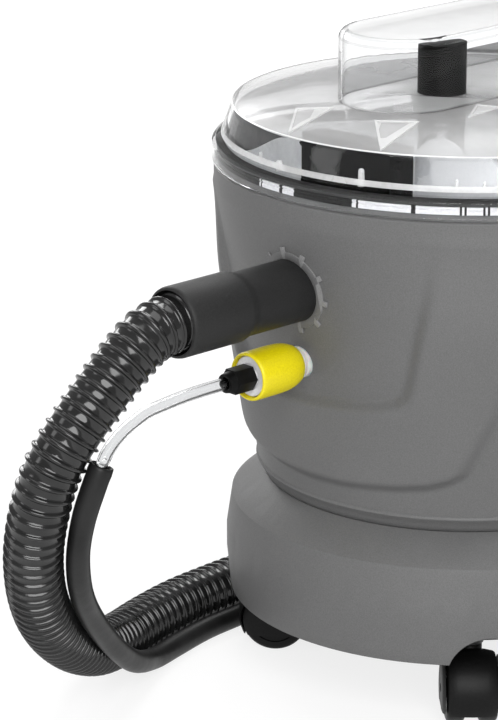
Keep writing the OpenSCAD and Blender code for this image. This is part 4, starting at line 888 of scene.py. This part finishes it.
def tyrePiece(name, side):
    radius, hub, width, sides = [tyreLook[key] for key in ("radius", "hub", "width", "sides")]
    rings = [(1, hub), (1, 76), (2, 77.6), (3.6, 78.8), (6, radius), (12.8, radius), (13.4, 79.2),
             (14.6, 79.2), (15.2, radius), (width - 6, radius), (width - 3.6, 78.8), (width - 2, 77.6),
             (width - 1, 76), (width - 1, hub)]
    centre = at(side * tyreLook["inside"], tyreLook["back"], tyreLook["height"])
    piece = turned(name, centre, (side, 0, 0), rings, sides, True)
    # Shallow cross grooves in the tread's shoulders
    for vertex in piece.data.vertices:
        away = vertex.co - centre
        out = hypot(away.y, away.z)
        onShoulder = any(abs(abs(away.x) - edge / 1000) < 0.001 for edge in (6, width - 6))
        if out > 0.0795 and onShoulder:
            share = tyreLook["treadDepth"] / 1000 / out
            step = round(sides * (pi + atan2(away.z, away.y)) / (2 * pi))
            if step % (sides // tyreLook["treads"]) == 0:
                vertex.co.y -= away.y * share
                vertex.co.z -= away.z * share
    return smoothed(piece, 30)


for side, word in ((-1, "left"), (1, "right")):
    mount(tyrePiece("rearTyre" + word.title(), side), "rear_wheel_" + word, "tyre_rubber", tyreBlack,
          "rear_tyre_" + word)

castorLook = {
    "stemX": 78.89, "stemY": -72.29, "turn": 47.5, "trail": 14, "wheel": 22, "wheelWidth": 12, "web": 4,
    "hoodFoot": 11, "axle": 3.05, "wellRings": [(4, 22.8), (16.9, 22.8), (17.4, 22.0)],
    "stemRings": [(26, 8), (46.6, 8), (48, 7), (48, 4.5), (83.4, 4.5), (84, 3.9)],
    "hood": [(-19.2, 9), (-19.4, 14), (-18.9, 18.6), (-17.2, 21.6), (-14.2, 23.6), (-9, 24.7), (0, 25.1),
             (9, 24.7), (14.2, 23.6), (17.2, 21.6), (18.9, 18.6), (19.4, 14), (19.2, 9)],
}


def castorWays(side):
    # The castor's wheel centre, the way across it and the way it trails
    turn = radians(side * castorLook["turn"])
    across = Vector((cos(turn), sin(turn), 0))
    trail = Vector((sin(turn), -cos(turn), 0))
    centre = at(side * castorLook["stemX"], castorLook["stemY"], castorLook["wheel"])
    return centre + trail * castorLook["trail"] / 1000, across, trail


def axleCutter(centre, across):
    return turned("axleHole", centre, across, [(-30, castorLook["axle"]), (30, castorLook["axle"])], 32)


def castorForkPiece(name, side):
    centre, across, trail = castorWays(side)
    piece = turned(name, centre, across, castorLook["hood"], 96)
    editOnly(piece)
    bpy.ops.mesh.bisect(plane_co=(0, 0, castorLook["hoodFoot"] / 1000), plane_no=(0, 0, 1), use_fill=True,
                        clear_inner=True)
    bpy.ops.object.mode_set(mode="OBJECT")
    wells = [turned("well", centre, across * s, castorLook["wellRings"], 72) for s in (-1, 1)]
    cutAway(piece, *wells, axleCutter(centre, across))
    stemFoot = at(side * castorLook["stemX"], castorLook["stemY"], 0)
    neck = turned("neck", stemFoot, (0, 0, 1), castorLook["stemRings"], 48)
    boss = turned("hub", centre, across, [(-4, 8), (4, 8)], 48)
    cutAway(boss, axleCutter(centre, across))
    joined(piece, neck, boss)
    return smoothed(piece, 40)


def castorWheelPiece(name, side, s):
    centre, across, trail = castorWays(side)
    half = [(6, castorLook["axle"]), (6, 6), (5.2, 6.6), (5.2, 15.6), (6, 16.2), (6, 19.4), (5.4, 20.8),
            (4, 21.8), (2.6, 22)]
    rings = [(-along, radius) for along, radius in half] + half[::-1]
    middle = centre + across * s * (castorLook["web"] + castorLook["wheelWidth"] / 2 + 0.4) / 1000
    return smoothed(turned(name, middle, across, rings, 72, True), 40)


for side, word in ((-1, "left"), (1, "right")):
    mount(castorForkPiece("castorFork" + word.title(), side), "castor_" + word, "black_plastic",
          castorBlack, "castor_fork_" + word)
    for s, letter in ((-1, "a"), (1, "b")):
        node = "castor_wheel_" + word + "_" + letter
        mount(castorWheelPiece("castorWheel" + word.title() + letter.upper(), side, s), node,
              "black_plastic", castorBlack, node)
print("turned pieces made")

lidLook = {
    # The crown's outer edge and its middle part: radius, height
    "edge": (150.5, 378), "crown": (104, 388), "cuts": (0.3615, 0.3745), "tongueFrom": 0.035,
    "bead": (344.8, 349.6), "beadRadius": (158.8, 160.3),
    # The bead's white stretches, painted highlights, and its black ticks, in degrees from the front; the rest
    # of the bead is painted shade in black
    "beadHighlights": [(-9.5, 2), (17.5, 78), (102, 170), (190, 258), (282, 312)],
    "beadTicks": [-8.6, -2, 18.7, 31.5, 41.6, 42.9, 46.7, 47.6, 60, 72, 108, 135, 158, 202, 240, 290, 304],
}


def lidAngle(point):
    # Degrees from the front towards +X
    return degrees(atan2(point.x, -(point.y + middleY))) % 360


def underCrown(x, y, drop):
    # A place under the lid's crown
    radius = hypot(x, y)
    (edge, low), (inner, high) = lidLook["edge"], lidLook["crown"]
    share = min(1.0, max(0.0, (edge - radius) / (edge - inner)))
    return at(x, y, low + (high - low) * share - drop)


lidPiece = softened("lid", "clearCover", 0.8)
editOnly(lidPiece)
for height in lidLook["cuts"]:
    bpy.ops.mesh.select_all(action="SELECT")
    bpy.ops.mesh.bisect(plane_co=(0, 0, height), plane_no=(0, 0, 1))
bpy.ops.mesh.select_all(action="SELECT")
bpy.ops.mesh.bisect(plane_co=(0, lidLook["tongueFrom"], 0), plane_no=(0, 1, 0))
bpy.ops.object.mode_set(mode="OBJECT")
mount(lidPiece, "lid", "clear_plastic", clearLid, "lid")


def lidRadius(face):
    return hypot(face.center.x, face.center.y + middleY) * 1000


def highlightBands(face):
    # Painted highlights in whitish frosted clear: the crown's outer edge, and a band low on the wall
    atEdge = face.center.z > 0.3766 and 148.5 < lidRadius(face) < 152 and abs(face.normal.z) < 0.95
    return atEdge or (0.3575 < face.center.z < 0.3615 and 155.5 < lidRadius(face) < 158.6)


def smoked(face):
    return 0.353 < face.center.z < 0.3575 and lidRadius(face) > 156


def milky(face):
    # The crown as far back as the tongue, which stays clear
    onCrown = face.center.z > 0.3776 and lidRadius(face) < 149 and face.normal.z > 0.6
    return onCrown and face.center.y < lidLook["tongueFrom"]


for finish, chosen in ((frostClear, highlightBands), (smokeClear, smoked), (crownMilk, milky)):
    secondFinish(lidPiece, finish, chosen)


def beadPiece():
    low, high = lidLook["bead"]
    inner, outer = lidLook["beadRadius"]
    rings = [(low, inner), (low, outer - 0.3), (low + 0.3, outer), (low + 2.6, outer),
             (low + 2.8, outer - 0.7), (low + 3.5, outer - 0.7), (low + 3.7, outer), (high - 0.3, outer),
             (high, outer - 0.3), (high, inner)]
    piece = smoothed(turned("coverBead", at(0, 0, 0), (0, 0, 1), rings, 720, True), 40)
    mount(piece, "lid", "clear_plastic", whiteMould)

    # Painted light on the clear lip: the white stretches are painted highlights, the rest and the ticks get
    # black as painted shade
    def shadedStretch(face):
        angle = lidAngle(face.center)
        white = any(start <= turn <= end for start, end in lidLook["beadHighlights"]
                    for turn in (angle, angle - 360))
        return not white or any(abs(angle - tick % 360) < 0.3 for tick in lidLook["beadTicks"])

    secondFinish(piece, boxBlack, shadedStretch)


beadPiece()


def edgeHighlightPiece():
    # Painted highlight: a white rounded ring along the edge between the cover's wall and its crown
    radius, height = lidLook["edge"]
    rings = [(height - 0.5, radius - 0.4), (height - 0.5, radius + 0.1), (height - 0.2, radius + 0.2),
             (height + 0.2, radius - 0.2), (height + 0.3, radius - 0.8), (height - 0.1, radius - 0.8)]
    return smoothed(turned("coverEdgeHighlight", at(0, 0, 0), (0, 0, 1), rings, 240, True), 40)


mount(edgeHighlightPiece(), "lid", "clear_plastic", edgeHighlight)


def coverSealPiece():
    rings = [(352.05, 154.5), (353.7, 154.5), (353.7, 160.3), (350.4, 160.3), (350.0, 159.9),
             (350.0, 158.8), (352.05, 158.8)]
    return smoothed(turned("coverSeal", at(0, 0, 0), (0, 0, 1), rings, 240, True), 40)


mount(coverSealPiece(), "machine", "black_rubber", sealBlack, "lid_seal")


# Where the painted-shade sheet lies inside the cover's sloping wall
shadePadLook = {"from": -44, "to": -6, "foot": 358.5, "top": 375.6, "rise": 17, "riseFrom": -26, "riseOver": 20,
           "riseBend": 1.4, "wall": (157.3, 358), "wallSlope": 0.34, "behindWall": 3.9, "thick": 0.001}


def wallShadePiece():
    # Painted shade: a dark sheet on the inner side of the cover's sloping wall
    clearSelection()
    bpy.ops.mesh.primitive_grid_add(x_subdivisions=48, y_subdivisions=8, size=1, location=(0, 0, 0))
    piece = settle(bpy.context.object, "coverWallShade")
    first, last = shadePadLook["from"], shadePadLook["to"]
    wallRadius, wallFoot = shadePadLook["wall"]
    for vertex in piece.data.vertices:
        along, up = vertex.co.x + 0.5, vertex.co.y + 0.5
        angle = first + (last - first) * along
        risen = smoothStep((angle - shadePadLook["riseFrom"]) / shadePadLook["riseOver"]) ** shadePadLook["riseBend"]
        foot = shadePadLook["foot"] + shadePadLook["rise"] * risen
        height = foot + (shadePadLook["top"] - foot) * up
        radius = wallRadius - (height - wallFoot) * shadePadLook["wallSlope"] - shadePadLook["behindWall"]
        vertex.co = at(radius * sin(radians(angle)), -radius * cos(radians(angle)), height)
    thick = piece.modifiers.new("thick", "SOLIDIFY")
    thick.thickness = shadePadLook["thick"]
    applyModifiers(piece)
    editOnly(piece)
    bpy.ops.mesh.normals_make_consistent(inside=False)
    bpy.ops.object.mode_set(mode="OBJECT")
    return smoothed(piece, 40)


mount(wallShadePiece(), "lid", "black_plastic", padShadeGrey)

arrowLook = {
    "one": {"tip": (-12, -148), "head": (-27, -110), "half": 13},
    "two": {"tip": (57, -138), "head": (36, -102), "half": 14},
    "three": {"tip": (62, -66), "head": (50, -34), "half": 8},
}


def arrowPiece(name, look):
    # A flat moulded arrow on the crown, with a small block under its head
    clearSelection()
    bpy.ops.mesh.primitive_circle_add(vertices=3, radius=1, fill_type="NGON", location=(0, 0, 0))
    piece = settle(bpy.context.object, name)
    tip, head = Vector(look["tip"]), Vector(look["head"])
    across = Vector((-(head - tip).y, (head - tip).x)).normalized() * look["half"]
    corners = [tip, head - across, head + across]
    for vertex, corner in zip(piece.data.vertices, corners):
        vertex.co = underCrown(corner.x, corner.y, -0.9)
    editOnly(piece)
    bpy.ops.mesh.inset(thickness=0.0016, depth=0.0)
    bpy.ops.mesh.extrude_region_move(TRANSFORM_OT_translate={"value": (0, 0, -0.0008)})
    bpy.ops.mesh.select_all(action="SELECT")
    bpy.ops.mesh.normals_make_consistent(inside=False)
    bpy.ops.object.mode_set(mode="OBJECT")
    thick = piece.modifiers.new("thick", "SOLIDIFY")
    thick.thickness = 0.0012
    applyModifiers(piece)
    side = head + across * 0.75
    low = underCrown(side.x, side.y, 9).z * 1000
    lump = block(name + "Block", (side.x - 4, side.y - 3, low), (side.x + 4, side.y + 3, low + 5), 0.5)
    joined(piece, lump)
    return smoothed(piece, 30)


for word, look in arrowLook.items():
    mount(arrowPiece("coverArrow" + word.title(), look), "lid", "clear_plastic", arrowMilk)

# Small posts inside the cover: degrees from the front, distance from the axis, foot, top, radius
postLook = {
    "one": (17.5, 148, 355, 366, 2.2), "two": (-15, 150, 354.5, 362, 1.6),
    "three": (-7, 150, 354.5, 361, 2.6), "four": (40.6, 149, 357, 364, 1.2),
    "five": (47, 149.5, 356.5, 363, 1.2),
}


def postPiece(name, place):
    angle, away, low, high, thick = place
    centre = at(away * sin(radians(angle)), -away * cos(radians(angle)), 0)
    rings = [(low, thick), (high - 1.5, thick * 0.85), (high - 0.4, thick * 0.7), (high, thick * 0.35)]
    return smoothed(turned(name, centre, (0, 0, 1), rings, 24), 50)


for word, place in postLook.items():
    mount(postPiece("coverPost" + word.title(), place), "lid", "clear_plastic", frostClear)

domePiece = softened("dome", "clearDome", 0.9)
mount(domePiece, "lid", "clear_plastic", clearDome, "dome")
secondFinish(domePiece, domeMilk, lambda face: face.center.z > 0.4325 and face.normal.z > 0.9)
secondFinish(domePiece, smokeClear, lambda face: face.center.z < 0.3895 or (
    face.center.z > 0.4265 and (0.05 < face.normal.z < 0.4 or 0.9 < face.normal.z < 0.99)))
print("cover and dome made")


studioLook = {
    "floorSize": 40, "floorWhite": (0.82, 0.82, 0.82, 1), "glowShare": 0.72,
    # The floor's glow: distance from the middle, strength
    "glowNear": (0.9, 1.12), "glowFar": (3.0, 1.42),
    "worldGrey": (0.2, 0.2, 0.203, 1), "white": (1, 1, 1, 1), "worldThrough": 0.85, "worldGloss": 0.3,
}


def studioFloor():
    clearSelection()
    bpy.ops.mesh.primitive_plane_add(size=studioLook["floorSize"], location=(0, 0, 0))
    floor = bpy.context.object
    floor.name = "studioFloor"
    material = bpy.data.materials.new("floorWhite")
    material.use_nodes = True
    nodes, links = material.node_tree.nodes, material.node_tree.links
    nodes.remove(nodes["Principled BSDF"])
    out = nodes["Material Output"]
    diffuse = nodes.new("ShaderNodeBsdfDiffuse")
    diffuse.inputs["Color"].default_value = studioLook["floorWhite"]
    glow = nodes.new("ShaderNodeEmission")
    glow.inputs["Color"].default_value = studioLook["white"]
    # The floor glows more with distance, so it fades into the white surroundings
    away = nodes.new("ShaderNodeVectorMath")
    away.operation = "LENGTH"
    links.new(nodes.new("ShaderNodeTexCoord").outputs["Object"], away.inputs[0])
    reach = nodes.new("ShaderNodeMapRange")
    for end, (distance, strength) in (("Min", studioLook["glowNear"]), ("Max", studioLook["glowFar"])):
        reach.inputs["From " + end].default_value = distance
        reach.inputs["To " + end].default_value = strength
    links.new(away.outputs["Value"], reach.inputs["Value"])
    links.new(reach.outputs["Result"], glow.inputs["Strength"])
    rays = nodes.new("ShaderNodeLightPath").outputs
    seen = combined(nodes, links, "MAXIMUM", rays["Is Camera Ray"], rays["Is Transmission Ray"])
    seen = combined(nodes, links, "MAXIMUM", seen, rays["Is Glossy Ray"])
    mix = nodes.new("ShaderNodeMixShader")
    links.new(combined(nodes, links, "MULTIPLY", seen, studioLook["glowShare"]), mix.inputs["Fac"])
    links.new(diffuse.outputs["BSDF"], mix.inputs[1])
    links.new(glow.outputs["Emission"], mix.inputs[2])
    links.new(mix.outputs["Shader"], out.inputs["Surface"])
    floor.data.materials.append(material)


def studioWorld():
    world = bpy.data.worlds.new("studioWorld")
    bpy.context.scene.world = world
    world.use_nodes = True
    nodes, links = world.node_tree.nodes, world.node_tree.links
    shade = nodes["Background"]
    rays = nodes.new("ShaderNodeLightPath").outputs
    through = combined(nodes, links, "MULTIPLY", rays["Is Transmission Ray"], studioLook["worldThrough"])
    gloss = combined(nodes, links, "MULTIPLY", rays["Is Glossy Ray"], studioLook["worldGloss"])
    seen = combined(nodes, links, "MAXIMUM", rays["Is Camera Ray"], through)
    mix = nodes.new("ShaderNodeMixRGB")
    mix.inputs["Color1"].default_value = studioLook["worldGrey"]
    mix.inputs["Color2"].default_value = studioLook["white"]
    links.new(combined(nodes, links, "MAXIMUM", seen, gloss), mix.inputs["Fac"])
    links.new(mix.outputs["Color"], shade.inputs["Color"])
    shade.inputs["Strength"].default_value = 1.0


lamps = {
    "keyLamp": {"place": (1.9, -1.9, 1.7), "aim": (0, -0.1, 0.2), "size": (2.0, 2.0), "power": 88},
    "leftLamp": {"place": (-1.1, -2.3, 1.3), "aim": (0, -0.2, 0.2), "size": (0.7, 1.6), "power": 9},
    "topLamp": {"place": (0.1, 0.2, 2.6), "aim": (0, 0, 0.2), "size": (1.6, 1.6), "power": 18},
    "backLamp": {"place": (-1.3, 1.5, 2.5), "aim": (0, 0, 0.2), "size": (1.2, 1.2), "power": 26},
    "sideLamp": {"place": (-2.4, 0.7, 1.3), "aim": (0, 0.1, 0.2), "size": (1.2, 1.2), "power": 24},
    "rearLamp": {"place": (1.1, 2.4, 1.4), "aim": (0, 0.1, 0.2), "size": (1.2, 1.2), "power": 24},
}


def studioLamp(name, look):
    data = bpy.data.lights.new(name, "AREA")
    data.shape = "RECTANGLE"
    data.size, data.size_y = look["size"]
    data.energy = look["power"]
    lamp = bpy.data.objects.new(name, data)
    lamp.location = look["place"]
    lamp.rotation_euler = (Vector(look["aim"]) - Vector(look["place"])).to_track_quat("-Z", "Y").to_euler()
    bpy.context.scene.collection.objects.link(lamp)


studioFloor()
studioWorld()
for lampName, lampLook in lamps.items():
    studioLamp(lampName, lampLook)
print("floor, lamps and world set")
